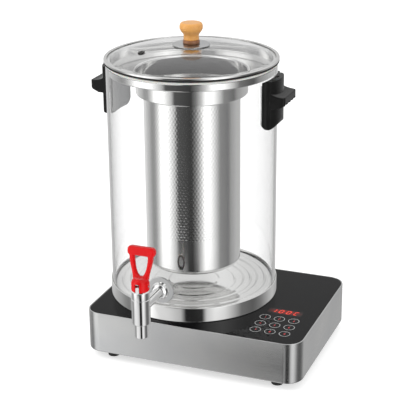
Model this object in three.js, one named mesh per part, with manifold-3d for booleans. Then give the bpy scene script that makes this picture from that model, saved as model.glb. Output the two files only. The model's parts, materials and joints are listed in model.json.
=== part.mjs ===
// Tea urn: a glass vessel with a steel tea basket and a draw-off tap, standing on an induction hob.
// Millimetres, +Z up, tap towards -Y. The origin is on the floor, in the middle of the urn's box.
// Heights that start with the word level are measured from the floor. Vessel, basket, lid and tap
// are drawn round the vessel's axis, and the hob round its own middle.

import * as THREE from 'three';
import { mergeVertices } from 'three/addons/utils/BufferGeometryUtils.js';
import Module from 'manifold-3d';

const wasm = await Module();
wasm.setup();

// Fits and facets
const seatGap = 0.3; // air left between a piece and the one that carries it
const overrun = 1; // how far a cutting body passes the face that it opens
const weldTolerance = 0.0001;
const largeSteps = 40;
const basketSteps = 32;
const mediumSteps = 24;
const smallSteps = 14;
const screwSteps = 8;
const cornerSteps = 3;
const bendSteps = 4;
const bevelSteps = 2;

// Hob
const hobWidth = 335;
const hobDepth = 249;
const hobHeight = 63;
const hobCornerRadius = 25;
const hobEdgeRadius = 2.4;
const hobWall = 1.6;
const vesselFromHobX = -45; // vessel axis, seen from the hob's middle
const vesselFromHobBack = 110.5;
const ledgeWidth = 9; // shelf that the glass top lies on
const ledgeThickness = 1.6;
const lipWidthX = 14; // bottom lip that the cover is screwed to
const lipWidthY = 34;
const lipThickness = 1.6;
const coverThickness = 1.6;
const topGlassThickness = 4;
const topGlassBevel = 0.5;
const topSealThickness = 0.8;
const topSealWidth = 7;

// Feet and their screws
const footRadius = 9;
const footTopRadius = 8.2;
const footHeight = 12;
const footInsetX = 38;
const footInsetY = 22;
const footScrewRadius = 2;
const footScrewHeadRadius = 3.8;
const footScrewHeadHeight = 2.4;
const footScrewHeadDepth = 6; // from the floor up to the seat of the head
const nutBossRadius = 4.5;
const nutBossHeight = 6;

// Air slots of the hob
const ventCount = 12;
const ventWidth = 3.2;
const ventPitch = 8.5;
const ventHeight = 26;
const ventBottom = 16; // above the hob's underside
const ventMiddleX = -84;
const intakeCount = 9;
const intakeWidth = 4;
const intakePitch = 7.4;

// Mains inlet
const inletX = 26;
const inletWidth = 27;
const inletHeight = 19.6;
const inletDepth = 22;
const inletFlangeWidth = 31;
const inletFlangeHeight = 25;
const inletFlangeThickness = 2.4;
const inletWall = 1.8;
const inletBottom = 20; // above the hob's underside
const inletPinWidth = 2;
const inletPinHeight = 4;
const inletPinLength = 11;
const inletPinSpacing = 7;
const inletPinRise = 2;

// Coil, its carrier, ferrites and sensor
const coilRadius = 90;
const coilBoreRadius = 24;
const coilThickness = 5;
const coilAirGap = 2; // up to the glass
const carrierRadius = 94;
const carrierThickness = 3;
const carrierRimHeight = 4;
const carrierRimWidth = 3;
const carrierHubRadius = 11;
const carrierHoleRadius = 15;
const carrierHoleCircle = 58;
const carrierHoleCount = 6;
const ferriteLength = 62;
const ferriteWidth = 13;
const ferriteThickness = 5;
const ferriteCount = 6;
const ferriteHubRadius = 26;
const ferriteHubBore = 15;
const ferriteHubWeb = 1; // ring left inside the inner end of a bar
const sensorRadius = 6;
const sensorBoreRadius = 3;
const carrierPostCircle = 82;
const carrierPostRadius = 3.5;
const carrierPostCount = 4;

// Power board with its heatsink
const boardThickness = 1.6;
const powerBoardWidth = 118;
const powerBoardDepth = 88;
const powerBoardX = -30; // from the vessel axis
const powerBoardY = -3;
const boardStandoff = 8;
const boardPostRadius = 3;
const boardPostInset = 5;
const capacitorRadius = 8;
const capacitorHeight = 18;
const capacitorGap = 1;
const chokeRadius = 12;
const chokeBoreRadius = 6;
const chokeHeight = 12;
const relayWidth = 20;
const relayDepth = 15;
const relayHeight = 16;
const heatsinkWidth = 56;
const heatsinkDepth = 40;
const heatsinkHeight = 22;
const heatsinkBase = 4;
const finCount = 8;
const finThickness = 1.6;

// Fan
const fanSize = 80;
const fanHeight = 20;
const fanCornerRadius = 6;
const fanDuctRadius = 37;
const fanWallDistance = 20; // from the inner face of the hob's right wall
const fanBackDistance = 34.9; // from the inner face of the back wall
const fanStandoff = 6;
const fanPostRadius = 3;
const fanPostInset = 6;
const fanStrutWidth = 5;
const fanStrutThickness = 2.5;
const fanStrutCount = 3;
const fanMountRadius = 13;
const fanShaftRadius = 2;
const fanShaftHeight = 12;
const fanHubRadius = 13;
const fanHubHeight = 13;
const fanHubWall = 1.6;
const fanBearingRadius = 3.6;
const fanBladeCount = 7;
const fanBladeThickness = 1.4;
const fanBladeRise = 9;
const fanBladePitch = 32; // degrees
const fanTipGap = 1.5;

// Touch board and display
const keyPitch = 22;
const keyRows = 3;
const keyFromRight = 53.5; // middle key, from the hob's right side
const keyFromFront = 54; // middle key, from the hob's front
const keyPadRadius = 5.5;
const displayWidth = 52;
const displayDepth = 16;
const displayHeight = 7;
const displayFromRight = 52.3;
const displayFromFront = 100.5;
const displayWindowDepth = 0.6;
const digitCount = 4;
const digitPitch = 11.5;
const digitWidth = 9;
const digitHeight = 12;
const touchBoardMargin = 7;
const touchPostRadius = 3;

// Glass vessel and its pan
const glassRadius = 125;
const glassWall = 4;
const glassHeight = 349;
const glassFootHeight = 8; // underside of the glass above the cooktop
const panWall = 1.3;
const panBandGap = 0.5;
const panBandHeight = 22.3;
const panBandBottom = 0.8;
const panChannelFloor = 6;
const panShelfHeight = 20;
const panShelfWidth = 7.5;
const panStepWidth = 13;
const panStepDrop = 3;
const panButtonRadius = 38;
const panButtonRise = 1;
const heatPlateInset = 3;
const heatPlateChamfer = 1.5;

// Collar at the top of the vessel
const gasketHeight = 3;
const gasketWidth = 3.7;
const collarWall = 0.9;
const collarFlangeWidth = 4.8;
const collarSkirtHeight = 14;
const collarFloorDrop = 5;
const collarHoleGap = 0.8;

// Basket
const basketRadius = 71.1;
const basketWall = 1;
const basketCollarRadius = 82.2;
const basketCollarHeight = 31;
const basketRimTube = 2.1;
const basketFlangeWidth = 9;
const basketFloorClearance = 34.8; // above the middle of the pan
const basketBottomRadius = 8;
const basketHoleRadius = 3;
const basketHoleRings = 3;
const basketHolesPerRing = 6;
const basketHolePitch = 18;
const holeSteps = 6;

// Lid
const lidRimOverhang = 2.6; // past the face of the glass
const lidRimWall = 1;
const lidRimChamfer = 1.5;
const lidRimLip = 5;
const lidGlassThickness = 3;
const lidGlassInset = 0.6;
const lidFlatWidth = 5.4;
const lidDomeRise = 18.5;
const lidDomeSteps = 5;
const lidLocatorHeight = 5;
const lidLocatorWall = 1.2;
const lidLocatorGap = 0.6;
const ventPlaceX = -59;
const ventPlaceY = -45.6;
const eyeletFlangeRadius = 5.4;
const eyeletShankRadius = 3.3;
const eyeletBoreRadius = 2.2;
const eyeletFlangeThickness = 1;

// Lid knob
const knobDiscRadius = 27.5;
const knobDiscThickness = 1.4;
const knobDiscDish = 0.7;
const knobRingRadius = 12.5;
const knobRingHeight = 5.4;
const knobRingChamfer = 1.5;
const knobNeckRadius = 11.2;
const knobNeckHeight = 6.5;
const knobRadius = 17;
const knobBulge = 11.5; // neck top up to the widest place
const knobCrown = 7; // widest place up to the flat top
const knobTopRadius = 13.8;
const knobScrewRadius = 2.2;
const knobScrewDepth = 15;
const knobScrewHeadRadius = 5;
const knobScrewHeadHeight = 2.6;
const knobWasherRadius = 8;
const knobWasherThickness = 1.2;

// Handles
const handleHeight = 71;
const handleTopDrop = 11; // below the top edge of the glass
const handleFlangeAngle = 16.5; // degrees to each side
const handleFlangeThickness = 3.2;
const handleFlangeCorner = 12;
const columnHalfWidth = 28;
const columnDepth = 13;
const columnSideDepth = 5;
const columnFootRadius = 9;
const gripReach = 26;
const gripTopDrop = 13; // from the handle's top down to where the scoop leaves the glass
const gripTipTop = 22; // handle's top down to the tip's upper edge
const gripTipBottom = 34;
const gripRootBottom = 40;
const gripCornerRadius = 5;
const fingerCount = 4;
const fingerPitch = 12.5;
const fingerRadius = 7;
const fingerDepth = 2.6;
const recessWidth = 15;
const recessLength = 4;
const recessDepth = 2;
const handleScrewDrop = 15; // below the handle's top
const handleScrewSpacing = 24;
const handleScrewRadius = 2;
const handleScrewHeadRadius = 4;
const handleScrewHeadHeight = 2.4;
const handleScrewBite = 8;
const plateThickness = 1.5;
const plateHeight = 64;
const plateAngle = 15.5; // degrees to each side
const plateTopGap = 1.2; // below the collar

// Tap, measured from the middle of its stem
const tapHeight = 50; // above the cooktop
const tapOverhang = 75; // glass face to the tap's axis
const barrelRadius = 13.2;
const barrelBelow = 20.5;
const barrelAbove = 17;
const barrelChamfer = 1.6;
const nozzleRadius = 9.8;
const nozzleLength = 21;
const nozzleChamfer = 1;
const stemRadius = 7.25;
const portRadius = 4.5;
const chamberRadius = 10;
const chamberDepth = 16;
const seatBoreRadius = 6.2;
const tapCollarRadius = 13;
const tapCollarLength = 10;
const tapCollarDome = 5;
const shankRadius = 8;
const shankClearance = 0.5;
const shankInside = 14; // past the inner face of the glass
const tapWasherRadius = 20.5;
const tapWasherThickness = 2.4;
const tapSealRadius = 17.5;
const tapSealThickness = 2.6;
const innerSealRadius = 14;
const innerSealThickness = 2.6;
const tapNutRadius = 14;
const tapNutThickness = 5.5;
const nutSides = 6;

// Tap valve
const bonnetRadius = 13;
const bonnetHeight = 12;
const bonnetWeb = 3.6;
const spigotRadius = 9.7;
const spigotLength = 7;
const springBoreRadius = 6.5;
const plungerRadius = 2.4;
const plungerHoleGap = 0.5;
const cupNoseRadius = 8.5;
const cupNoseHeight = 3;
const cupNeckRadius = 5.8;
const cupTop = 2; // above the stem's middle
const cupBoreDepth = 16;
const springRadius = 4.7;
const springWireRadius = 0.6;
const springTurns = 6;
const springSteps = 8;
const springSides = 6;
const eyeWidth = 5;
const eyeDepth = 6;
const eyeHeight = 8;
const pinHeight = 8.4; // lever pin above the bonnet
const pinRadius = 1.5;
const pinSink = 0.6; // pin ends below the lever's face

// Tap lever
const leverSkirtRadius = 12.9;
const leverSkirtHeight = 13;
const leverSkirtWall = 3.2;
const leverSkirtChamfer = 2.2;
const leverNeckRadius = 11.4;
const leverNeckHeight = 19.5; // above the skirt's underside
const leverShoulder = 4;
const leverSlotWidth = 8.5;
const leverSlotHeight = 13.5;
const leverLoopBase = 17; // above the skirt's underside
const leverLoopSet = 3; // towards the vessel
const leverLoopHeight = 46.4;
const leverLoopThickness = 9.5;
const leverLoopBevel = 2.5;
const leverLean = 7; // degrees towards the vessel
const leverNeckWidth = 23;
const leverBarLength = 41.3;
const leverBarHeight = 13.6;
const leverSideBar = 6.2;
const leverHoleBottom = 5.8; // above the loop's base
const leverHoleWidth = 22;

// Shares of a size, chosen by eye
const flareShares = { low: 0.3, high: 0.62 };
const columnShares = { turn: 0.62 };
const holeShares = { side: 0.92, sideDrop: 0.55, floor: 0.5 };
const scoopShares = { turn: 0.28 };
const bulgeShares = { rise: 0.4, reach: 0.92 };

// Levels
const levelHob = footHeight;
const levelCooktop = levelHob + hobHeight;
const levelCoverTop = levelHob + coverThickness;
const levelLipTop = levelCoverTop + lipThickness;
const levelTopGlass = levelCooktop - topGlassThickness;
const levelLedge = levelTopGlass - topSealThickness;
const levelLedgeUnderside = levelLedge - ledgeThickness;
const levelCoilTop = levelTopGlass - coilAirGap;
const levelCarrierTop = levelCoilTop - coilThickness;
const levelCarrier = levelCarrierTop - carrierThickness;
const levelFerrite = levelCarrier - ferriteThickness;
const levelPowerBoard = levelCoverTop + boardStandoff;
const levelPowerBoardTop = levelPowerBoard + boardThickness;
const levelFan = levelCoverTop + fanStandoff;
const levelDisplayTop = levelTopGlass - seatGap;
const levelTouchBoardTop = levelDisplayTop - displayHeight;
const levelTouchBoard = levelTouchBoardTop - boardThickness;
const levelPanFloor = levelCooktop + panShelfHeight - 2 * panStepDrop;
const levelGlassFoot = levelCooktop + glassFootHeight;
const levelGlassTop = levelGlassFoot + glassHeight;
const levelGasketTop = levelGlassTop + gasketHeight;
const levelCollarTop = levelGasketTop + collarWall;
const levelCollarSkirtFoot = levelGasketTop - collarSkirtHeight;
const levelCollarFloor = levelCollarSkirtFoot - collarFloorDrop;
const levelBasketBottom = levelPanFloor + panButtonRise + basketFloorClearance;
const levelLidWebTop = levelCollarTop + lidRimWall;
const levelLidGlass = levelLidWebTop + seatGap;
const levelLidGlassTop = levelLidGlass + lidGlassThickness;
const levelLidRimTop = levelLidGlassTop + seatGap + lidRimWall;
const levelDome = levelLidGlassTop + lidDomeRise;
const levelUnderDome = levelDome - lidGlassThickness;
const levelKnobWasher = levelUnderDome - seatGap - knobWasherThickness;
const levelKnobDisc = levelDome + seatGap;
const levelKnobRing = levelKnobDisc + knobDiscThickness;
const levelKnob = levelKnobRing + knobRingHeight;
const levelHandleTop = levelGlassTop - handleTopDrop;
const levelHandleFoot = levelHandleTop - handleHeight;

// Radii and places that several pieces share
const glassBore = glassRadius - glassWall;
const coverInset = hobWall + hobEdgeRadius;
const vesselFromHobY = hobDepth / 2 - vesselFromHobBack;
const lidRimRadius = glassRadius + lidRimOverhang;
const collarSkirtRadius = glassBore - seatGap;
const collarBore = collarSkirtRadius - collarWall;
const collarHoleRadius = basketCollarRadius + collarHoleGap;
const panShelfRadius = glassBore - seatGap - panWall;
const panStepRadius = panShelfRadius - panShelfWidth;
const panFloorRadius = panStepRadius - panStepWidth;
const lidGlassRadius = lidRimRadius - lidRimWall - lidGlassInset;
const lidFlatRadius = lidGlassRadius - lidFlatWidth;
const domeRadius = (lidFlatRadius ** 2 + lidDomeRise ** 2) / (2 * lidDomeRise);
const knobBore = knobScrewRadius + seatGap;
const columnFace = glassRadius + columnDepth;
const footPlaceX = hobWidth / 2 - footInsetX;
const footPlaceY = hobDepth / 2 - footInsetY;
const footPlaces = [[-1, -1], [1, -1], [-1, 1], [1, 1]].map(([x, y]) => [x * footPlaceX, y * footPlaceY]);
const keyMiddleX = hobWidth / 2 - keyFromRight;
const keyMiddleY = keyFromFront - hobDepth / 2;
const displayX = hobWidth / 2 - displayFromRight;
const displayY = displayFromFront - hobDepth / 2;
const fanX = hobWidth / 2 - hobWall - fanWallDistance - fanSize / 2;
const fanMiddleY = hobDepth / 2 - hobWall - fanBackDistance - fanSize / 2;
const powerBoardPlaceX = vesselFromHobX + powerBoardX;
const powerBoardPlaceY = vesselFromHobY + powerBoardY;
const tapWallY = tapOverhang; // glass face, from the tap's axis
const washerFace = tapWallY - tapSealThickness; // towards the vessel
const collarFace = washerFace - tapWasherThickness;
const shankEnd = tapWallY + glassWall + shankInside;
const bonnetTop = barrelAbove + bonnetHeight;
const leverFoot = bonnetTop + seatGap;
const pinLevel = bonnetTop + pinHeight;

// Solids: every helper takes and gives back a closed BufferGeometry

function toSolid(geometry) {
  const plain = geometry.clone();
  for (const name of Object.keys(plain.attributes)) {
    if (name !== 'position') plain.deleteAttribute(name);
  }
  const welded = mergeVertices(plain, weldTolerance);
  const corners = welded.index.array;
  const kept = [];
  for (let i = 0; i < corners.length; i += 3) {
    const [a, b, c] = corners.slice(i, i + 3);
    if (a !== b && b !== c && c !== a) kept.push(a, b, c);
  }
  const vertProperties = new Float32Array(welded.attributes.position.array);
  const mesh = new wasm.Mesh({ numProp: 3, vertProperties, triVerts: new Uint32Array(kept) });
  return new wasm.Manifold(mesh);
}

function toGeometry(solid) {
  const { vertProperties, triVerts } = solid.getMesh();
  const geometry = new THREE.BufferGeometry();
  geometry.setAttribute('position', new THREE.BufferAttribute(vertProperties, 3));
  geometry.setIndex(new THREE.BufferAttribute(triVerts, 1));
  return geometry;
}

function join(...pieces) {
  return toGeometry(pieces.map(toSolid).reduce((whole, piece) => whole.add(piece)));
}

function cut(body, ...tools) {
  return toGeometry(tools.map(toSolid).reduce((rest, tool) => rest.subtract(tool), toSolid(body)));
}

function common(first, second) {
  return toGeometry(toSolid(first).intersect(toSolid(second)));
}

function at(geometry, x, y, z = 0) {
  return geometry.translate(x, y, z);
}

// A body of revolution round Z from [radius, height] pairs, inner side first, rising on the outside.
function turned(profile, steps = largeSteps) {
  const points = profile.map(([r, z]) => new THREE.Vector2(r, z));
  const closesOnAxis = profile[0][0] === 0 && profile[profile.length - 1][0] === 0;
  if (!closesOnAxis) points.push(points[0].clone());
  return new THREE.LatheGeometry(points, steps).rotateX(Math.PI / 2);
}

function disc(radius, bottom, top, steps = largeSteps) {
  return turned([[0, bottom], [radius, bottom], [radius, top], [0, top]], steps);
}

function ring(bore, radius, bottom, top, steps = largeSteps) {
  return turned([[bore, bottom], [radius, bottom], [radius, top], [bore, top]], steps);
}

function block(width, depth, bottom, top) {
  return new THREE.BoxGeometry(width, depth, top - bottom).translate(0, 0, (bottom + top) / 2);
}

function prism(shape, bottom, top, bevel = 0, curveSegments = cornerSteps) {
  return new THREE.ExtrudeGeometry(shape, {
    depth: top - bottom - 2 * bevel,
    curveSegments,
    bevelEnabled: bevel > 0,
    bevelThickness: bevel,
    bevelSize: bevel,
    bevelOffset: -bevel,
    bevelSegments: bevelSteps,
  }).translate(0, 0, bottom + bevel);
}

function roundedRect(width, depth, radius) {
  const x = width / 2;
  const y = depth / 2;
  const r = Math.min(radius, x, y);
  const shape = new THREE.Shape();
  shape.absarc(x - r, y - r, r, 0, Math.PI / 2);
  shape.absarc(r - x, y - r, r, Math.PI / 2, Math.PI);
  shape.absarc(r - x, r - y, r, Math.PI, 1.5 * Math.PI);
  shape.absarc(x - r, r - y, r, 1.5 * Math.PI, 2 * Math.PI);
  return shape;
}

// Points of an arc in a profile, angles in degrees from the outward direction.
function arc(r, z, radius, from, to, steps) {
  return Array.from({ length: steps + 1 }, (_, i) => {
    const angle = THREE.MathUtils.degToRad(from + ((to - from) * i) / steps);
    return [r + radius * Math.cos(angle), z + radius * Math.sin(angle)];
  });
}

function aroundZ(count, turn, make) {
  return Array.from({ length: count }, (_, i) => make(i).rotateZ((2 * Math.PI * i) / count + turn));
}

// Hob

function hobOutline(inset) {
  return roundedRect(hobWidth - 2 * inset, hobDepth - 2 * inset, hobCornerRadius - inset);
}

function coilFrame(geometry) {
  return at(geometry, vesselFromHobX, vesselFromHobY);
}

function screwPlaces(make) {
  return footPlaces.map(([x, y]) => at(make(), x, y));
}

function baseHousing() {
  const wideTop = levelCooktop + hobEdgeRadius;
  const lipCorner = Math.max(hobCornerRadius - lipWidthX, hobWall);
  const lipHole = roundedRect(hobWidth - 2 * lipWidthX, hobDepth - 2 * lipWidthY, lipCorner);
  const wallCut = 2 * (hobWall + overrun);
  const ventFoot = levelHob + ventBottom;
  const vents = Array.from({ length: ventCount }, (_, i) => {
    const x = ventMiddleX + (i - (ventCount - 1) / 2) * ventPitch;
    return at(block(ventWidth, wallCut, ventFoot, ventFoot + ventHeight), x, hobDepth / 2 - hobWall / 2);
  });
  const inletHole = block(
    inletWidth + 2 * seatGap,
    wallCut,
    levelHob + inletBottom - seatGap,
    levelHob + inletBottom + inletHeight + seatGap,
  );
  const shell = cut(
    prism(hobOutline(0), levelHob, wideTop, hobEdgeRadius),
    prism(hobOutline(-overrun), levelCooktop, wideTop + overrun),
    prism(hobOutline(hobWall), levelLedge, levelCooktop + overrun),
    prism(hobOutline(hobWall + ledgeWidth), levelLedgeUnderside - overrun, levelLedge + overrun),
    prism(hobOutline(hobWall), levelLipTop, levelLedgeUnderside),
    prism(lipHole, levelCoverTop - overrun, levelLipTop + overrun),
    prism(hobOutline(coverInset), levelHob - overrun, levelCoverTop),
    at(inletHole, inletX, hobDepth / 2 - hobWall / 2),
    ...vents,
  );
  const bossTop = levelLipTop + nutBossHeight;
  const bosses = screwPlaces(() => disc(nutBossRadius, levelLipTop, bossTop, smallSteps));
  const threads = screwPlaces(() => (
    disc(footScrewRadius + seatGap, levelCoverTop - overrun, bossTop + overrun, screwSteps)
  ));
  return cut(join(shell, ...bosses), ...threads);
}

function cornerPosts(width, depth, radius, top) {
  const places = [[-1, -1], [1, -1], [-1, 1], [1, 1]];
  return places.map(([x, y]) => (
    at(disc(radius, levelCoverTop, top, screwSteps), (x * width) / 2, (y * depth) / 2)
  ));
}

function touchBoardBox() {
  const left = Math.min(keyMiddleX - keyPitch, displayX - displayWidth / 2) - touchBoardMargin;
  const right = Math.max(keyMiddleX + keyPitch, displayX + displayWidth / 2) + touchBoardMargin;
  const front = keyMiddleY - keyPitch - touchBoardMargin;
  const back = displayY + displayDepth / 2 + touchBoardMargin;
  return { x: (left + right) / 2, y: (front + back) / 2, width: right - left, depth: back - front };
}

function bottomCover() {
  const plate = prism(hobOutline(coverInset + seatGap), levelHob, levelCoverTop);
  const carrierPosts = aroundZ(carrierPostCount, Math.PI / carrierPostCount, () => (
    at(disc(carrierPostRadius, levelCoverTop, levelCarrier, screwSteps), carrierPostCircle, 0)
  )).map(coilFrame);
  const boardPosts = cornerPosts(
    powerBoardWidth - 2 * boardPostInset,
    powerBoardDepth - 2 * boardPostInset,
    boardPostRadius,
    levelPowerBoard,
  ).map((post) => at(post, powerBoardPlaceX, powerBoardPlaceY));
  const fanSpan = fanSize - 2 * fanPostInset;
  const fanPosts = cornerPosts(fanSpan, fanSpan, fanPostRadius, levelFan)
    .map((post) => at(post, fanX, fanMiddleY));
  const touch = touchBoardBox();
  const behindLip = 2 * (hobDepth / 2 - lipWidthY + touch.y);
  const beforeFan = 2 * (fanMiddleY - fanSize / 2 - touch.y);
  const touchPosts = cornerPosts(
    touch.width - 2 * touchBoardMargin,
    Math.min(touch.depth, behindLip, beforeFan) - 4 * touchPostRadius,
    touchPostRadius,
    levelTouchBoard,
  ).map((post) => at(post, touch.x, touch.y));
  const slots = Array.from({ length: intakeCount }, (_, i) => {
    const offset = (i - (intakeCount - 1) / 2) * intakePitch;
    const length = 2 * Math.sqrt(fanDuctRadius ** 2 - offset ** 2);
    const slot = block(intakeWidth, length, levelHob - overrun, levelCoverTop + overrun);
    return at(slot, fanX + offset, fanMiddleY);
  });
  const holes = screwPlaces(() => (
    disc(footScrewRadius + seatGap, levelHob - overrun, levelCoverTop + overrun, screwSteps)
  ));
  return cut(join(plate, ...carrierPosts, ...boardPosts, ...fanPosts, ...touchPosts), ...slots, ...holes);
}

function cooktopGlass() {
  const outline = hobOutline(hobWall + seatGap);
  const blank = prism(outline, levelTopGlass, levelCooktop + topGlassBevel, 0);
  const edged = prism(outline, levelTopGlass - topGlassBevel, levelCooktop, topGlassBevel);
  return common(blank, edged);
}

function cooktopSeal() {
  const inset = hobWall + 2 * seatGap;
  return cut(
    prism(hobOutline(inset), levelLedge, levelTopGlass),
    prism(hobOutline(inset + topSealWidth), levelLedge - overrun, levelTopGlass + overrun),
  );
}

function foot() {
  const screwHole = footScrewRadius + seatGap;
  const headHole = footScrewHeadRadius + seatGap;
  return turned([
    [screwHole, footScrewHeadDepth],
    [headHole, footScrewHeadDepth],
    [headHole, 0],
    [footRadius, 0],
    [footTopRadius, footHeight],
    [screwHole, footHeight],
  ], smallSteps);
}

function footScrew() {
  const tip = levelLipTop + nutBossHeight - seatGap;
  return turned([
    [0, footScrewHeadDepth - footScrewHeadHeight],
    [footScrewHeadRadius, footScrewHeadDepth - footScrewHeadHeight],
    [footScrewHeadRadius, footScrewHeadDepth],
    [footScrewRadius, footScrewHeadDepth],
    [footScrewRadius, tip],
    [0, tip],
  ], screwSteps);
}

function powerInlet() {
  const wallFace = hobDepth / 2;
  const bottom = levelHob + inletBottom;
  const middle = bottom + inletHeight / 2;
  const flange = block(
    inletFlangeWidth,
    inletFlangeThickness,
    middle - inletFlangeHeight / 2,
    middle + inletFlangeHeight / 2,
  );
  const sleeve = block(inletWidth, inletDepth, bottom, bottom + inletHeight);
  const outside = join(
    at(flange, 0, wallFace + inletFlangeThickness / 2 + seatGap),
    at(sleeve, 0, wallFace - inletDepth / 2 + 2 * seatGap),
  );
  const socketFloor = wallFace - inletDepth + inletWall + 2 * seatGap;
  const socketLength = wallFace + inletFlangeThickness + overrun - socketFloor;
  const socket = block(
    inletWidth - 2 * inletWall,
    socketLength,
    bottom + inletWall,
    bottom + inletHeight - inletWall,
  );
  const hollow = cut(outside, at(socket, 0, socketFloor + socketLength / 2));
  const pins = [-1, 0, 1].map((side) => {
    const foot = middle + (side === 0 ? inletPinRise : -inletPinRise) - inletPinHeight / 2;
    const pin = block(inletPinWidth, inletPinLength, foot, foot + inletPinHeight);
    return at(pin, side * inletPinSpacing, socketFloor + inletPinLength / 2 - inletWall / 2);
  });
  return at(join(hollow, ...pins), inletX, 0);
}

function inductionCoil() {
  return coilFrame(ring(coilBoreRadius, coilRadius, levelCarrierTop, levelCoilTop));
}

function coilCarrier() {
  const rimTop = levelCarrierTop + carrierRimHeight;
  const hubBore = sensorBoreRadius + seatGap;
  const dish = turned([
    [hubBore, levelCarrier],
    [carrierRadius, levelCarrier],
    [carrierRadius, rimTop],
    [carrierRadius - carrierRimWidth, rimTop],
    [carrierRadius - carrierRimWidth, levelCarrierTop],
    [carrierHubRadius, levelCarrierTop],
    [carrierHubRadius, rimTop],
    [hubBore, rimTop],
  ], mediumSteps);
  const windows = aroundZ(carrierHoleCount, Math.PI / carrierHoleCount, () => (
    at(disc(carrierHoleRadius, levelCarrier - overrun, rimTop + overrun, screwSteps), carrierHoleCircle, 0)
  ));
  return coilFrame(cut(dish, ...windows));
}

function ferriteStar() {
  const barMiddle = ferriteHubBore + ferriteHubWeb + ferriteLength / 2;
  const bars = aroundZ(ferriteCount, 0, () => (
    at(block(ferriteLength, ferriteWidth, levelFerrite, levelCarrier), barMiddle, 0)
  ));
  const hub = ring(ferriteHubBore, ferriteHubRadius, levelFerrite, levelCarrier, smallSteps);
  return coilFrame(join(hub, ...bars));
}

function temperatureSensor() {
  const headFoot = levelCarrierTop + carrierRimHeight;
  const top = levelTopGlass - seatGap;
  return coilFrame(turned([
    [0, levelFerrite],
    [sensorBoreRadius, levelFerrite],
    [sensorBoreRadius, headFoot],
    [sensorRadius, headFoot],
    [sensorRadius, top],
    [0, top],
  ], smallSteps));
}

function powerBoard() {
  const base = levelPowerBoardTop;
  const frontRow = capacitorRadius + boardPostInset - powerBoardDepth / 2;
  const backRow = powerBoardDepth / 2 - relayDepth / 2 - boardPostInset;
  const capacitors = [0, 1, 2].map((i) => at(
    disc(capacitorRadius, base - boardThickness / 2, base + capacitorHeight, screwSteps),
    powerBoardWidth / 2 - boardPostInset - capacitorRadius - i * (2 * capacitorRadius + capacitorGap),
    frontRow,
  ));
  const choke = at(
    ring(chokeBoreRadius, chokeRadius, base - boardThickness / 2, base + chokeHeight, smallSteps),
    chokeRadius + boardPostInset - powerBoardWidth / 2,
    chokeRadius + boardPostInset - powerBoardDepth / 2,
  );
  const relay = at(
    block(relayWidth, relayDepth, base - boardThickness / 2, base + relayHeight),
    relayWidth / 2 + boardPostInset - powerBoardWidth / 2,
    backRow,
  );
  const board = block(powerBoardWidth, powerBoardDepth, levelPowerBoard, base);
  return at(join(board, choke, relay, ...capacitors), powerBoardPlaceX, powerBoardPlaceY);
}

function heatsink() {
  const top = levelPowerBoardTop + heatsinkHeight;
  const base = levelPowerBoardTop + heatsinkBase;
  const gap = (heatsinkDepth - finCount * finThickness) / (finCount - 1);
  const channels = Array.from({ length: finCount - 1 }, (_, i) => {
    const y = finThickness + gap / 2 + i * (gap + finThickness) - heatsinkDepth / 2;
    return at(block(heatsinkWidth + 2 * overrun, gap, base, top + overrun), 0, y);
  });
  const x = powerBoardPlaceX + powerBoardWidth / 2 - heatsinkWidth / 2 - boardPostInset;
  const y = powerBoardPlaceY + powerBoardDepth / 2 - heatsinkDepth / 2 - boardPostInset;
  return at(cut(block(heatsinkWidth, heatsinkDepth, levelPowerBoardTop, top), ...channels), x, y);
}

function fanHousing() {
  const top = levelFan + fanHeight;
  const strutTop = levelFan + fanStrutThickness;
  const frame = cut(
    prism(roundedRect(fanSize, fanSize, fanCornerRadius), levelFan, top),
    disc(fanDuctRadius, levelFan - overrun, top + overrun, mediumSteps),
  );
  const struts = aroundZ(fanStrutCount, Math.PI / 2, () => (
    at(block(fanDuctRadius + overrun, fanStrutWidth, levelFan, strutTop), (fanDuctRadius + overrun) / 2, 0)
  ));
  const mount = disc(fanMountRadius, levelFan, strutTop, smallSteps);
  const shaft = disc(fanShaftRadius, levelFan, strutTop + fanShaftHeight, screwSteps);
  return at(join(frame, ...struts, mount, shaft), fanX, fanMiddleY);
}

function fanRotor() {
  const foot = levelFan + fanStrutThickness + seatGap;
  const top = foot + fanHubHeight;
  const bore = fanShaftRadius + seatGap;
  const hub = turned([
    [bore, foot],
    [fanBearingRadius, foot],
    [fanBearingRadius, top - 2 * fanHubWall],
    [fanHubRadius - fanHubWall, top - 2 * fanHubWall],
    [fanHubRadius - fanHubWall, foot],
    [fanHubRadius, foot],
    [fanHubRadius, top],
    [bore, top],
  ], smallSteps);
  const reach = fanDuctRadius - fanTipGap - fanHubRadius + fanHubWall / 2;
  const middle = foot + fanHubHeight / 2;
  const blades = aroundZ(fanBladeCount, 0, () => {
    const blade = block(reach, fanBladeThickness, -fanBladeRise / 2, fanBladeRise / 2);
    blade.rotateX(THREE.MathUtils.degToRad(90 - fanBladePitch));
    return at(blade, fanHubRadius - fanHubWall / 2 + reach / 2, 0, middle);
  });
  return at(join(hub, ...blades), fanX, fanMiddleY);
}

function touchBoard() {
  const box = touchBoardBox();
  const board = at(block(box.width, box.depth, levelTouchBoard, levelTouchBoardTop), box.x, box.y);
  const pads = [];
  for (let row = 0; row < keyRows; row += 1) {
    for (let column = 0; column < keyRows; column += 1) {
      const x = keyMiddleX + (column - (keyRows - 1) / 2) * keyPitch;
      const y = keyMiddleY + (row - (keyRows - 1) / 2) * keyPitch;
      pads.push(at(disc(keyPadRadius, levelTouchBoard, levelDisplayTop, screwSteps), x, y));
    }
  }
  return join(board, ...pads);
}

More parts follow.
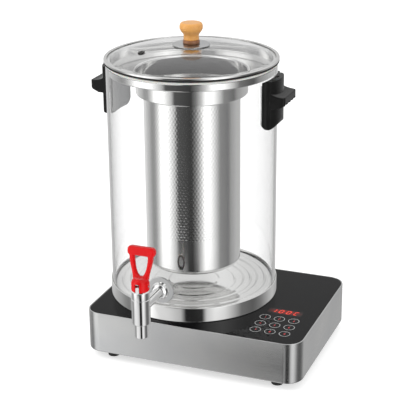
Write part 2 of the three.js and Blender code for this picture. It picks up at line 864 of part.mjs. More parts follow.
function displayModule() {
  const body = block(displayWidth, displayDepth, levelTouchBoardTop, levelDisplayTop);
  const windows = Array.from({ length: digitCount }, (_, i) => at(
    block(digitWidth, digitHeight, levelDisplayTop - displayWindowDepth, levelDisplayTop + overrun),
    (i - (digitCount - 1) / 2) * digitPitch,
    0,
  ));
  return at(cut(body, ...windows), displayX, displayY);
}

// Vessel

function panProfile() {
  const z = levelCooktop;
  const bandRadius = glassRadius + panBandGap;
  const shelf = z + panShelfHeight;
  const step = shelf - panStepDrop;
  const floor = step - panStepDrop;
  const button = floor + panButtonRise;
  const channel = z + panChannelFloor;
  const wallRadius = panShelfRadius + panWall;
  return [
    [0, button - panWall],
    [panButtonRadius - panWall, button - panWall],
    [panButtonRadius - panWall, floor - panWall],
    [panFloorRadius + panWall, floor - panWall],
    [panFloorRadius + panWall, step - panWall],
    [panStepRadius + panWall, step - panWall],
    [panStepRadius + panWall, shelf - panWall],
    [panShelfRadius, shelf - panWall],
    [panShelfRadius, channel - panWall],
    [bandRadius, channel - panWall],
    [bandRadius, z + panBandBottom],
    [bandRadius + panWall, z + panBandBottom],
    [bandRadius + panWall, z + panBandHeight],
    [bandRadius, z + panBandHeight],
    [bandRadius, channel],
    [wallRadius, channel],
    [wallRadius, shelf],
    [panStepRadius, shelf],
    [panStepRadius, step],
    [panFloorRadius, step],
    [panFloorRadius, floor],
    [panButtonRadius, floor],
    [panButtonRadius, button],
    [0, button],
  ];
}

function basePan() {
  return turned(panProfile());
}

function heatPlate() {
  const radius = panFloorRadius - heatPlateInset;
  const top = levelPanFloor - panWall;
  return turned([
    [0, levelCooktop],
    [radius - heatPlateChamfer, levelCooktop],
    [radius, levelCooktop + heatPlateChamfer],
    [radius, top],
    [0, top],
  ]);
}

function lowerSeal() {
  const bore = glassBore + seatGap;
  return ring(bore, glassRadius - seatGap / 2, levelCooktop + panChannelFloor, levelGlassFoot);
}

function sideways(radius, from, to, steps = smallSteps) {
  return disc(radius, from, to, steps).rotateY(Math.PI / 2);
}

function handleScrewPlaces(make) {
  const z = levelHandleTop - handleScrewDrop;
  return [-1, 1].map((side) => at(make(), 0, (side * handleScrewSpacing) / 2, z));
}

function glassCylinder() {
  const tapHole = disc(shankRadius + shankClearance, 0, glassRadius + overrun, smallSteps);
  tapHole.rotateX(Math.PI / 2);
  const reach = glassRadius + overrun;
  const screwHoles = handleScrewPlaces(() => (
    sideways(handleScrewRadius + shankClearance, -reach, reach, screwSteps)
  ));
  return cut(
    ring(glassBore, glassRadius, levelGlassFoot, levelGlassTop),
    at(tapHole, 0, 0, levelCooktop + tapHeight),
    ...screwHoles,
  );
}

function topGasket() {
  return ring(glassRadius - gasketWidth, glassRadius, levelGlassTop, levelGasketTop);
}

function collarFloorAt(radius) {
  const slope = collarFloorDrop / (collarBore - collarHoleRadius);
  return levelCollarFloor + slope * Math.max(0, radius - collarHoleRadius) + collarWall;
}

function topCollar() {
  return turned([
    [collarHoleRadius, levelCollarFloor],
    [collarSkirtRadius, levelCollarSkirtFoot],
    [collarSkirtRadius, levelGasketTop],
    [collarBore + collarFlangeWidth, levelGasketTop],
    [collarBore + collarFlangeWidth, levelCollarTop],
    [collarBore, levelCollarTop],
    [collarBore, levelCollarSkirtFoot + collarWall],
    [collarHoleRadius, levelCollarFloor + collarWall],
  ]);
}

// Handles, drawn on the +X side

function sector(bore, radius, halfAngle, bottom, top) {
  const half = THREE.MathUtils.degToRad(halfAngle);
  const shape = new THREE.Shape();
  shape.absarc(0, 0, radius, -half, half);
  shape.absarc(0, 0, bore, half, -half, true);
  return prism(shape, bottom, top);
}

// Seen from outside: top corners square, bottom corners round.
function tongue(halfWidth, bottom, top, corner, reach) {
  const shape = new THREE.Shape();
  shape.moveTo(-halfWidth, top);
  shape.lineTo(-halfWidth, bottom + corner);
  shape.absarc(corner - halfWidth, bottom + corner, corner, Math.PI, 1.5 * Math.PI);
  shape.absarc(halfWidth - corner, bottom + corner, corner, 1.5 * Math.PI, 2 * Math.PI);
  shape.lineTo(halfWidth, top);
  return prism(shape, 0, reach).rotateX(Math.PI / 2).rotateZ(Math.PI / 2);
}

// An outline in X and Z, drawn through from side to side.
function sideCut(shape, halfWidth) {
  return prism(shape, -halfWidth, halfWidth).rotateX(Math.PI / 2);
}

function handleFlange() {
  const halfAngle = THREE.MathUtils.degToRad(handleFlangeAngle);
  const radius = glassRadius + handleFlangeThickness;
  const halfWidth = radius * Math.sin(halfAngle);
  return common(
    sector(glassBore, radius, handleFlangeAngle, levelHandleFoot, levelHandleTop),
    tongue(halfWidth, levelHandleFoot, levelHandleTop + overrun, handleFlangeCorner, radius + overrun),
  );
}

function handleColumn() {
  const sideX = glassRadius + columnSideDepth;
  const bend = columnFace - columnFootRadius;
  const plan = new THREE.Shape();
  plan.moveTo(glassBore - glassWall, -columnHalfWidth);
  plan.lineTo(sideX, -columnHalfWidth);
  plan.quadraticCurveTo(columnFace, -columnHalfWidth * columnShares.turn, columnFace, 0);
  plan.quadraticCurveTo(columnFace, columnHalfWidth * columnShares.turn, sideX, columnHalfWidth);
  plan.lineTo(glassBore - glassWall, columnHalfWidth);
  const side = new THREE.Shape();
  side.moveTo(0, levelHandleTop);
  side.lineTo(0, levelHandleFoot);
  side.lineTo(bend, levelHandleFoot);
  side.absarc(bend, levelHandleFoot + columnFootRadius, columnFootRadius, -Math.PI / 2, 0);
  side.lineTo(columnFace, levelHandleTop);
  return common(
    prism(plan, levelHandleFoot - overrun, levelHandleTop),
    sideCut(side, columnHalfWidth + overrun),
  );
}

function handleGrip() {
  const top = levelHandleTop;
  const tip = glassRadius + gripReach;
  const side = new THREE.Shape();
  side.moveTo(glassRadius, top - gripTopDrop);
  side.quadraticCurveTo(glassRadius + scoopShares.turn * gripReach, top - gripTipTop, tip, top - gripTipTop);
  side.lineTo(tip, top - gripTipBottom);
  side.lineTo(columnFace, top - gripRootBottom);
  side.lineTo(glassRadius, top - gripRootBottom);
  const plan = at(prism(
    roundedRect(2 * gripReach, 2 * columnHalfWidth, gripCornerRadius),
    top - gripRootBottom - overrun,
    top,
  ), glassRadius, 0);
  return common(sideCut(side, columnHalfWidth + overrun), plan);
}

function fingerGrooves() {
  const run = glassRadius + gripReach - columnFace;
  const slope = Math.atan2(gripRootBottom - gripTipBottom, run);
  return Array.from({ length: fingerCount }, (_, i) => {
    const groove = sideways(fingerRadius, 0, 2 * gripReach, smallSteps).rotateY(-slope);
    const z = levelHandleTop - gripRootBottom - fingerRadius + fingerDepth;
    return at(groove, columnFace + seatGap, (i - (fingerCount - 1) / 2) * fingerPitch, z);
  });
}

function handle() {
  const recess = block(recessLength, recessWidth, levelHandleTop - recessDepth, levelHandleTop + overrun);
  const screwHoles = handleScrewPlaces(() => (
    sideways(handleScrewRadius + seatGap, 0, glassRadius + handleScrewBite + seatGap, screwSteps)
  ));
  const wall = disc(glassRadius + seatGap, levelHandleFoot - overrun, levelHandleTop + overrun);
  return cut(
    join(handleFlange(), handleColumn(), cut(handleGrip(), ...fingerGrooves())),
    wall,
    at(recess, glassRadius + columnDepth / 2, 0),
    ...screwHoles,
  );
}

function handlePlate() {
  const radius = glassBore - seatGap;
  const top = levelCollarFloor - plateTopGap;
  const bottom = top - plateHeight;
  const halfWidth = radius * Math.sin(THREE.MathUtils.degToRad(plateAngle));
  const sheet = cut(
    ring(radius - plateThickness, radius, bottom, top),
    at(block(2 * radius + overrun, 2 * radius + overrun, bottom - overrun, top + overrun), -radius, 0),
  );
  const outline = tongue(halfWidth, bottom, top + overrun, handleFlangeCorner, radius + overrun);
  const holes = handleScrewPlaces(() => sideways(handleScrewRadius + seatGap, 0, glassRadius, screwSteps));
  return cut(common(sheet, outline), ...holes);
}

function handleScrew() {
  const edgeY = handleScrewSpacing / 2 + handleScrewHeadRadius;
  const plateFace = Math.sqrt((glassBore - seatGap - plateThickness) ** 2 - edgeY ** 2);
  const seat = plateFace - seatGap;
  const screw = turned([
    [0, seat - handleScrewHeadHeight],
    [handleScrewHeadRadius, seat - handleScrewHeadHeight],
    [handleScrewHeadRadius, seat],
    [handleScrewRadius, seat],
    [handleScrewRadius, glassRadius + handleScrewBite],
    [0, glassRadius + handleScrewBite],
  ], screwSteps);
  return screw.rotateY(Math.PI / 2);
}

// Basket

function basketCollar() {
  const rimRadius = basketCollarRadius + basketRimTube;
  const rimLevel = collarFloorAt(rimRadius + basketRimTube) + seatGap + basketRimTube;
  const bottom = rimLevel - basketCollarHeight;
  const tube = turned([
    [basketRadius + seatGap, bottom],
    [basketCollarRadius, bottom],
    [basketCollarRadius, rimLevel],
    [basketCollarRadius - basketWall, rimLevel],
    [basketCollarRadius - basketWall, bottom + basketWall],
    [basketRadius + seatGap, bottom + basketWall],
  ], basketSteps);
  const bead = arc(rimRadius - basketWall / 2, rimLevel, basketRimTube, -90, 270, 2 * bendSteps);
  const rim = turned(bead.slice(0, -1), basketSteps);
  return join(tube, rim);
}

function basketFlangeLevel() {
  const rimLevel = collarFloorAt(basketCollarRadius + 2 * basketRimTube) + seatGap + basketRimTube;
  return rimLevel - basketCollarHeight + basketWall + seatGap;
}

// The tub is a rolled wall with a drawn floor butt-welded to its foot.
function basketBody() {
  const flange = basketFlangeLevel();
  const seam = levelBasketBottom + basketBottomRadius + seatGap / 2;
  return turned([
    [basketRadius - basketWall, seam],
    [basketRadius, seam],
    [basketRadius, flange],
    [basketRadius + basketFlangeWidth, flange],
    [basketRadius + basketFlangeWidth, flange + basketWall],
    [basketRadius - basketWall, flange + basketWall],
  ], basketSteps);
}

function basketFloor() {
  const bottom = levelBasketBottom;
  const bend = basketRadius - basketBottomRadius;
  const inside = basketBottomRadius - basketWall;
  const top = bottom + basketBottomRadius;
  const seam = top - seatGap / 2;
  const dish = turned([
    [0, bottom],
    ...arc(bend, top, basketBottomRadius, -90, 0, bendSteps).slice(0, -1),
    [basketRadius, seam],
    [basketRadius - basketWall, seam],
    ...arc(bend, top, inside, 0, -90, bendSteps).slice(1),
    [0, bottom + basketWall],
  ], basketSteps);
  const holes = [];
  for (let ringIndex = 0; ringIndex < basketHoleRings; ringIndex += 1) {
    const count = ringIndex === 0 ? 1 : basketHolesPerRing * ringIndex;
    const circle = aroundZ(count, 0, () => at(
      disc(basketHoleRadius, bottom - overrun, bottom + basketWall + overrun, holeSteps),
      ringIndex * basketHolePitch,
      0,
    ));
    holes.push(...circle);
  }
  return cut(dish, ...holes);
}

// Lid

function lidRim() {
  const inside = lidRimRadius - lidRimWall;
  const locator = collarBore - lidLocatorGap;
  return turned([
    [locator - lidLocatorWall, levelCollarTop - lidLocatorHeight],
    [locator, levelCollarTop - lidLocatorHeight],
    [locator, levelCollarTop],
    [lidRimRadius - lidRimChamfer, levelCollarTop],
    [lidRimRadius, levelCollarTop + lidRimChamfer],
    [lidRimRadius, levelLidRimTop],
    [lidRimRadius - lidRimLip, levelLidRimTop],
    [lidRimRadius - lidRimLip, levelLidRimTop - lidRimWall],
    [inside, levelLidRimTop - lidRimWall],
    [inside, levelLidWebTop],
    [locator - lidLocatorWall, levelLidWebTop],
  ]);
}

function domeHeight(radius, offset) {
  const centre = levelDome - domeRadius;
  return centre + Math.sqrt((domeRadius - offset) ** 2 - radius ** 2);
}

function ventFrame(geometry) {
  const out = Math.hypot(ventPlaceX, ventPlaceY);
  const tilt = Math.asin(out / domeRadius);
  const heading = Math.atan2(ventPlaceY, ventPlaceX);
  const placed = geometry.rotateY(tilt).rotateZ(heading);
  return at(placed, ventPlaceX, ventPlaceY, domeHeight(out, 0));
}

function lidGlass() {
  const steps = Array.from({ length: lidDomeSteps + 1 }, (_, i) => (lidFlatRadius * i) / lidDomeSteps);
  const under = steps.map((r) => [r, Math.max(levelLidGlass, domeHeight(r, lidGlassThickness))]);
  const over = steps.map((r) => [r, domeHeight(r, 0)]).reverse();
  const dome = turned([
    ...under,
    [lidGlassRadius, levelLidGlass],
    [lidGlassRadius, levelLidGlassTop],
    ...over,
  ]);
  const bore = disc(knobScrewRadius + 2 * seatGap, levelLidGlass, levelDome + overrun, screwSteps);
  const ventLength = lidGlassThickness + overrun;
  const vent = ventFrame(disc(eyeletShankRadius + seatGap, -ventLength, overrun, smallSteps));
  return cut(dome, bore, vent);
}

function ventEyelet() {
  const foot = -lidGlassThickness - seatGap;
  const top = seatGap;
  return ventFrame(turned([
    [eyeletBoreRadius, foot - eyeletFlangeThickness],
    [eyeletFlangeRadius, foot - eyeletFlangeThickness],
    [eyeletFlangeRadius, foot],
    [eyeletShankRadius, foot],
    [eyeletShankRadius, top],
    [eyeletFlangeRadius, top],
    [eyeletFlangeRadius, top + eyeletFlangeThickness],
    [eyeletBoreRadius, top + eyeletFlangeThickness],
  ], smallSteps));
}

function knobDisc() {
  const edge = levelKnobDisc - knobDiscDish;
  return turned([
    [knobBore, levelKnobDisc],
    [knobRingRadius, levelKnobDisc],
    [knobDiscRadius, edge],
    [knobDiscRadius, edge + knobDiscThickness / 2],
    [knobDiscRadius - knobDiscThickness / 2, edge + knobDiscThickness],
    [knobRingRadius, levelKnobRing],
    [knobBore, levelKnobRing],
  ], mediumSteps);
}

function knobRing() {
  return turned([
    [knobBore, levelKnobRing],
    [knobRingRadius - knobRingChamfer, levelKnobRing],
    [knobRingRadius, levelKnobRing + knobRingChamfer],
    [knobRingRadius, levelKnob - knobRingChamfer],
    [knobRingRadius - knobRingChamfer, levelKnob],
    [knobBore, levelKnob],
  ], mediumSteps);
}

function lidKnob() {
  const neckTop = levelKnob + knobNeckHeight;
  const widest = neckTop + knobBulge;
  const top = widest + knobCrown;
  const side = new THREE.CurvePath();
  side.add(new THREE.CubicBezierCurve(
    new THREE.Vector2(knobNeckRadius, neckTop),
    new THREE.Vector2(knobNeckRadius, neckTop + bulgeShares.rise * knobBulge),
    new THREE.Vector2(knobRadius, widest - bulgeShares.rise * knobBulge),
    new THREE.Vector2(knobRadius, widest),
  ));
  side.add(new THREE.CubicBezierCurve(
    new THREE.Vector2(knobRadius, widest),
    new THREE.Vector2(knobRadius, widest + bulgeShares.rise * knobCrown),
    new THREE.Vector2(knobRadius * bulgeShares.reach, top),
    new THREE.Vector2(knobTopRadius, top),
  ));
  const boreTop = levelKnob + knobScrewDepth + seatGap;
  return turned([
    [knobBore, levelKnob],
    [knobNeckRadius, levelKnob],
    ...side.getPoints(bendSteps).map((point) => [point.x, point.y]),
    [0, top],
    [0, boreTop],
    [knobBore, boreTop],
    [knobBore, levelKnob],
  ], mediumSteps);
}

function knobWasher() {
  return ring(knobBore, knobWasherRadius, levelKnobWasher, levelUnderDome - seatGap, smallSteps);
}

function knobScrew() {
  const headFoot = levelKnobWasher - knobScrewHeadHeight;
  const tip = levelKnob + knobScrewDepth;
  return turned([
    [0, headFoot],
    [knobScrewHeadRadius, headFoot],
    [knobScrewHeadRadius, levelKnobWasher],
    [knobScrewRadius, levelKnobWasher],
    [knobScrewRadius, tip],
    [0, tip],
  ], screwSteps);
}

// Tap, drawn round its own upright axis with the stem's middle at height zero

// A turned body lying along Y, its heights running from the tap's axis to the vessel.
function lying(geometry) {
  return geometry.rotateX(-Math.PI / 2);
}

function vesselWall(radius) {
  const reach = tapWasherRadius + overrun;
  return at(disc(radius, -reach, reach), 0, tapWallY + glassRadius);
}

function tapBody() {
  const nozzleFoot = -barrelBelow - nozzleLength;
  const seat = -chamberDepth - (chamberRadius - seatBoreRadius);
  const domeFoot = collarFace - tapCollarLength;
  const upright = turned([
    [0, nozzleFoot],
    [nozzleRadius - nozzleChamfer, nozzleFoot],
    [nozzleRadius, nozzleFoot + nozzleChamfer],
    [nozzleRadius, -barrelBelow],
    [barrelRadius - barrelChamfer, -barrelBelow],
    [barrelRadius, -barrelBelow + barrelChamfer],
    [barrelRadius, barrelAbove],
    [0, barrelAbove],
  ], mediumSteps);
  const stem = lying(turned([
    [0, 0],
    [stemRadius, 0],
    [stemRadius, domeFoot],
    ...arc(tapCollarRadius - tapCollarDome, domeFoot + tapCollarDome, tapCollarDome, -90, 0, bendSteps),
    [tapCollarRadius, collarFace],
    [shankRadius, collarFace],
    [shankRadius, shankEnd],
    [0, shankEnd],
  ], smallSteps));
  const chamber = turned([
    [0, nozzleFoot - overrun],
    [seatBoreRadius, nozzleFoot - overrun],
    [seatBoreRadius, seat],
    [chamberRadius, -chamberDepth],
    [chamberRadius, barrelAbove + overrun],
    [0, barrelAbove + overrun],
  ], smallSteps);
  return cut(join(upright, stem), chamber, lying(disc(portRadius, 0, shankEnd + overrun, smallSteps)));
}

function tapWasher() {
  return lying(ring(shankRadius + shankClearance, tapWasherRadius, collarFace, washerFace, mediumSteps));
}

function outerSeal() {
  const bore = shankRadius + shankClearance;
  const blank = lying(ring(bore, tapSealRadius, washerFace, tapWallY + glassWall, mediumSteps));
  return cut(blank, vesselWall(glassRadius + seatGap));
}

function innerSeal() {
  const face = tapWallY + glassWall + seatGap;
  const blank = lying(ring(
    shankRadius + shankClearance,
    innerSealRadius,
    tapWallY,
    face + innerSealThickness,
    smallSteps,
  ));
  return common(blank, vesselWall(glassBore - seatGap));
}

function tapNut() {
  const face = tapWallY + glassWall + seatGap + innerSealThickness;
  const top = face + tapNutThickness;
  const bore = disc(shankRadius + seatGap, face - overrun, top + overrun, smallSteps);
  return lying(cut(disc(tapNutRadius, face, top, nutSides), bore));
}

function tapBonnet() {
  const foot = barrelAbove - spigotLength;
  const plungerBore = plungerRadius + plungerHoleGap;
  return turned([
    [springBoreRadius, foot],
    [spigotRadius, foot],
    [spigotRadius, barrelAbove],
    [bonnetRadius, barrelAbove],
    [bonnetRadius, bonnetTop],
    [plungerBore, bonnetTop],
    [plungerBore, bonnetTop - bonnetWeb],
    [springBoreRadius, bonnetTop - bonnetWeb],
  ], smallSteps);
}

function valveCup() {
  const seatSlack = seatGap * Math.SQRT2;
  const coneStart = seatBoreRadius - seatGap;
  const coneFoot = -chamberDepth - (chamberRadius - coneStart) + seatSlack;
  const coneTop = coneFoot + cupNoseRadius - coneStart;
  const bore = plungerRadius + seatGap;
  const boreFoot = cupTop - cupBoreDepth;
  return turned([
    [0, coneFoot],
    [coneStart, coneFoot],
    [cupNoseRadius, coneTop],
    [cupNoseRadius, coneTop + cupNoseHeight],
    [cupNeckRadius, coneTop + cupNoseHeight],
    [cupNeckRadius, cupTop],
    [bore, cupTop],
    [bore, boreFoot],
    [0, boreFoot],
  ], smallSteps);
}

function tapPlunger() {
  const foot = cupTop - cupBoreDepth + seatGap;
  const stem = disc(plungerRadius, foot, pinLevel, screwSteps);
  const eye = block(eyeWidth, eyeDepth, pinLevel - eyeHeight / 2, pinLevel + eyeHeight / 2);
  const pinHole = sideways(pinRadius + seatGap, -eyeWidth, eyeWidth, screwSteps);
  return cut(join(stem, eye), at(pinHole, 0, 0, pinLevel));
}

class Helix extends THREE.Curve {
  getPoint(share, target = new THREE.Vector3()) {
    const angle = 2 * Math.PI * springTurns * share;
    const foot = cupTop + seatGap + springWireRadius;
    const top = bonnetTop - bonnetWeb - seatGap - springWireRadius;
    return target.set(
      springRadius * Math.cos(angle),
      springRadius * Math.sin(angle),
      foot + (top - foot) * share,
    );
  }
}

function tapSpring() {
  const section = new THREE.Shape();
  section.absarc(0, 0, springWireRadius, 0, 2 * Math.PI);
  return new THREE.ExtrudeGeometry(section, {
    steps: springTurns * springSteps,
    curveSegments: springSides / 2,
    extrudePath: new Helix(),
  });
}

function leverLoop() {
  const barFoot = leverLoopHeight - leverBarHeight;
  const end = leverBarHeight / 2;
  const barX = leverBarLength / 2 - end;
  const neck = leverNeckWidth / 2;
  const sideX = leverHoleWidth / 2 + leverSideBar;
  const shape = new THREE.Shape();
  shape.moveTo(-neck, 0);
  shape.lineTo(neck, 0);
  shape.bezierCurveTo(neck, flareShares.low * barFoot, sideX, flareShares.high * barFoot, sideX, barFoot);
  shape.absarc(barX, leverLoopHeight - end, end, -Math.PI / 4, Math.PI / 2);
  shape.absarc(-barX, leverLoopHeight - end, end, Math.PI / 2, 1.25 * Math.PI);
  shape.lineTo(-sideX, barFoot);
  shape.bezierCurveTo(-sideX, flareShares.high * barFoot, -neck, flareShares.low * barFoot, -neck, 0);
  const half = leverHoleWidth / 2;
  const drop = barFoot - leverHoleBottom;
  const hole = new THREE.Path();
  hole.moveTo(-half, barFoot);
  hole.bezierCurveTo(
    -half * holeShares.side,
    barFoot - holeShares.sideDrop * drop,
    -half * holeShares.floor,
    leverHoleBottom,
    0,
    leverHoleBottom,
  );
  hole.bezierCurveTo(
    half * holeShares.floor,
    leverHoleBottom,
    half * holeShares.side,
    barFoot - holeShares.sideDrop * drop,
    half,
    barFoot,
  );
  shape.holes.push(hole);
  const loop = prism(shape, -leverLoopThickness / 2, leverLoopThickness / 2, leverLoopBevel);
  loop.rotateX(Math.PI / 2 - THREE.MathUtils.degToRad(leverLean));
  return at(loop, 0, leverLoopSet, leverFoot + leverLoopBase);
}

function tapLever() {
  const cavityRadius = leverSkirtRadius - leverSkirtWall;
  const cavityTop = leverFoot + leverSlotHeight;
  const neck = leverFoot + leverNeckHeight;
  const skirt = turned([
    [0, leverFoot],
    [leverSkirtRadius - leverSkirtChamfer, leverFoot],
    [leverSkirtRadius, leverFoot + leverSkirtChamfer],
    [leverSkirtRadius, leverFoot + leverSkirtHeight],
    [leverNeckRadius, neck],
    [leverNeckRadius - leverShoulder, neck + leverShoulder],
    [0, neck + leverShoulder],
  ], mediumSteps);
  const cavity = disc(cavityRadius, leverFoot - overrun, cavityTop, smallSteps);
  const slot = block(leverSlotWidth, leverSkirtRadius + overrun, leverFoot - overrun, cavityTop);
  return cut(
    join(skirt, leverLoop()),
    cavity,
    at(slot, 0, -(leverSkirtRadius + overrun) / 2),
    at(sideways(pinRadius + seatGap, -leverBarLength, leverBarLength, screwSteps), 0, 0, pinLevel),
  );
}

function leverPin() {
  const reach = leverSkirtRadius - pinSink;
  return at(sideways(pinRadius, -reach, reach, screwSteps), 0, 0, pinLevel);
}

// Finishes

function finish(color, roughness, metalness) {
  return new THREE.MeshStandardMaterial({ color, roughness, metalness });
}

const brushedSteel = finish(0xb4b4b4, 0.35, 1);
const polishedSteel = finish(0xdadada, 0.12, 1);
const chrome = finish(0xe6e6e6, 0.05, 1);
const blackGlass = finish(0x161616, 0.06, 0);
const blackRubber = finish(0x1a1a1a, 0.85, 0);
const greySilicone = finish(0xb8b8b4, 0.6, 0);
const blackPlastic = finish(0x2b2b2b, 0.45, 0);
const redPlastic = finish(0xe0141c, 0.25, 0);
const wood = finish(0xc98d4f, 0.5, 0);
const redBrownPlastic = finish(0x5e2420, 0.4, 0);
const copper = finish(0xb87333, 0.4, 1);
const ferrite = finish(0x3a3a3c, 0.7, 0);
const greenBoard = finish(0x1f6b3a, 0.6, 0);
const aluminium = finish(0xc8cacc, 0.4, 1);
const redDisplay = finish(0x3a0606, 0.3, 0);
const clearGlass = finish(0xf2f6f6, 0.04, 0);
clearGlass.transparent = true;
clearGlass.opacity = 0.3;

function piece(group, name, geometry, material) {
  const mesh = new THREE.Mesh(geometry, material);
  mesh.name = name;
  geometry.computeVertexNormals();
  group.add(mesh);
  return mesh;
}

// Assembly

const urn = new THREE.Group();
const hob = new THREE.Group();
const vessel = new THREE.Group();
const tap = new THREE.Group();
urn.add(hob, vessel);
vessel.add(tap);
hob.position.set(-vesselFromHobX, -vesselFromHobY, 0);
tap.position.set(0, -glassRadius - tapOverhang, levelCooktop + tapHeight);

piece(hob, 'base_housing', baseHousing(), brushedSteel);
piece(hob, 'bottom_cover', bottomCover(), blackPlastic);
piece(hob, 'cooktop_glass', cooktopGlass(), blackGlass);
piece(hob, 'cooktop_seal', cooktopSeal(), blackRubber);
footPlaces.forEach(([x, y], i) => {
  piece(hob, `foot_${i + 1}`, foot(), blackRubber).position.set(x, y, 0);
  piece(hob, `foot_screw_${i + 1}`, footScrew(), brushedSteel).position.set(x, y, 0);
});
piece(hob, 'power_inlet', powerInlet(), blackPlastic);
piece(hob, 'induction_coil', inductionCoil(), copper);
piece(hob, 'coil_carrier', coilCarrier(), blackPlastic);
piece(hob, 'ferrite_star', ferriteStar(), ferrite);
piece(hob, 'temperature_sensor', temperatureSensor(), aluminium);
piece(hob, 'power_board', powerBoard(), greenBoard);
piece(hob, 'heatsink', heatsink(), aluminium);
piece(hob, 'fan_housing', fanHousing(), blackPlastic);
piece(hob, 'fan_rotor', fanRotor(), blackPlastic);
piece(hob, 'touch_board', touchBoard(), greenBoard);
piece(hob, 'display_module', displayModule(), redDisplay);

piece(vessel, 'base_pan', basePan(), polishedSteel);
piece(vessel, 'heat_plate', heatPlate(), brushedSteel);
piece(vessel, 'lower_seal', lowerSeal(), greySilicone);
piece(vessel, 'glass_cylinder', glassCylinder(), clearGlass);
piece(vessel, 'top_gasket', topGasket(), greySilicone);
piece(vessel, 'top_collar', topCollar(), polishedSteel);
[['right', 0], ['left', Math.PI]].forEach(([side, turn]) => {
  const mount = new THREE.Group();
  mount.rotation.z = turn;
  vessel.add(mount);
  piece(mount, `handle_${side}`, handle(), blackPlastic);
  piece(mount, `handle_plate_${side}`, handlePlate(), brushedSteel);
  handleScrewPlaces(handleScrew).forEach((screw, i) => {
    piece(mount, `handle_screw_${side}_${i + 1}`, screw, brushedSteel);
  });
});

piece(vessel, 'basket_collar', basketCollar(), polishedSteel);
piece(vessel, 'basket_body', basketBody(), polishedSteel);
piece(vessel, 'basket_floor', basketFloor(), polishedSteel);

piece(vessel, 'lid_rim', lidRim(), polishedSteel);
piece(vessel, 'lid_glass', lidGlass(), clearGlass);
piece(vessel, 'vent_eyelet', ventEyelet(), polishedSteel);
piece(vessel, 'knob_disc', knobDisc(), polishedSteel);
piece(vessel, 'knob_ring', knobRing(), redBrownPlastic);
piece(vessel, 'lid_knob', lidKnob(), wood);
piece(vessel, 'knob_washer', knobWasher(), greySilicone);
piece(vessel, 'knob_screw', knobScrew(), brushedSteel);

piece(tap, 'tap_body', tapBody(), chrome);
piece(tap, 'tap_washer', tapWasher(), brushedSteel);
piece(tap, 'tap_outer_seal', outerSeal(), greySilicone);
piece(tap, 'tap_inner_seal', innerSeal(), greySilicone);
piece(tap, 'tap_nut', tapNut(), brushedSteel);
piece(tap, 'tap_bonnet', tapBonnet(), chrome);
piece(tap, 'valve_cup', valveCup(), greySilicone);
piece(tap, 'tap_plunger', tapPlunger(), brushedSteel);
piece(tap, 'tap_spring', tapSpring(), brushedSteel);
piece(tap, 'tap_lever', tapLever(), redPlastic);
piece(tap, 'lever_pin', leverPin(), brushedSteel);

const middle = new THREE.Box3().setFromObject(urn).getCenter(new THREE.Vector3());
urn.position.set(-middle.x, -middle.y, 0);

export default urn;
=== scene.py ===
# Tea urn: finishes, fine shapes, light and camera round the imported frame.
# Blender works in metres; the dictionaries below are in millimetres and degrees.
import json
import math

import bmesh
import bpy
from mathutils import Matrix, Vector


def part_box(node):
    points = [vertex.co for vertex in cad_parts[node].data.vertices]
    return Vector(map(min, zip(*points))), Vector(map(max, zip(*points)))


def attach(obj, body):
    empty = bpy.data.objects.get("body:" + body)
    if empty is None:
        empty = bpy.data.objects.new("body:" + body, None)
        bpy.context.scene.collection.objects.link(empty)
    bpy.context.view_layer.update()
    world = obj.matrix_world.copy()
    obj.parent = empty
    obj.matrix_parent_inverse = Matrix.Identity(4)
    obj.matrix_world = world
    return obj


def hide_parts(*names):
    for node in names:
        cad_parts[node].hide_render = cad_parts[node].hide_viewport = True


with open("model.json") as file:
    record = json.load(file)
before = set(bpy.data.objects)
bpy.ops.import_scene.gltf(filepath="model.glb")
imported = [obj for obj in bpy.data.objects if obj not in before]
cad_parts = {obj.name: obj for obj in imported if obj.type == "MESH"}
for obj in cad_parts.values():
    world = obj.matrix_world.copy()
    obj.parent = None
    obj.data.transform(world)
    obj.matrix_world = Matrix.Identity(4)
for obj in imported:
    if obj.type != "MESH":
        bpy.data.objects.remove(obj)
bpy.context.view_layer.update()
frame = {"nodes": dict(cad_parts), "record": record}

mm = 0.001
nodes = frame["nodes"]


# helpers for colour and nodes

def linear(hexCode, alpha=1.0):
    # sRGB hex to the linear values that Blender's sockets take
    channels = [int(hexCode[i:i + 2], 16) / 255 for i in (1, 3, 5)]
    curve = [c / 12.92 if c <= 0.04045 else ((c + 0.055) / 1.055) ** 2.4 for c in channels]
    return (*curve, alpha)


def addNode(tree, kind, inputs=None, **settings):
    # inputs: socket name or number -> a value, a hex colour, an output socket, or a node, which
    # stands for its first output
    node = tree.nodes.new("ShaderNode" + kind)
    for key, value in settings.items():
        setattr(node, key, value)
    for key, value in (inputs or {}).items():
        if isinstance(value, bpy.types.Node):
            value = value.outputs[0]
        if isinstance(value, bpy.types.NodeSocket):
            tree.links.new(value, node.inputs[key])
        else:
            node.inputs[key].default_value = linear(value) if isinstance(value, str) else value
    return node


def startMaterial(name):
    material = bpy.data.materials.new(name)
    material.use_nodes = True
    material.node_tree.nodes.clear()
    return material, material.node_tree


def endMaterial(tree, shader):
    addNode(tree, "OutputMaterial", {"Surface": shader})


def perMetre(size):
    # how often a pattern of that size in millimetres repeats in a metre
    return 1000 / size


def layered(tree, colour, *layers):
    # colours laid over the first one, each as (how much of it, colour)
    for share, shade in layers:
        mix = addNode(tree, "Mix", {0: share, 6: colour, 7: shade}, data_type="RGBA")
        colour = mix.outputs[2]
    return colour


def grey(level):
    return level, level, level, 1


def addObject(name, data):
    made = bpy.data.objects.new(name, data)
    bpy.context.scene.collection.objects.link(made)
    return made


# helpers for shapes: a shape is (vertices, faces) in millimetres

def boxOf(node):
    low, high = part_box(node)
    return [v / mm for v in low], [v / mm for v in high]


def middleOf(node):
    return [(a + b) / 2 for a, b in zip(*boxOf(node))]


def radiusOf(node):
    low, high = boxOf(node)
    return (high[0] - low[0]) / 2


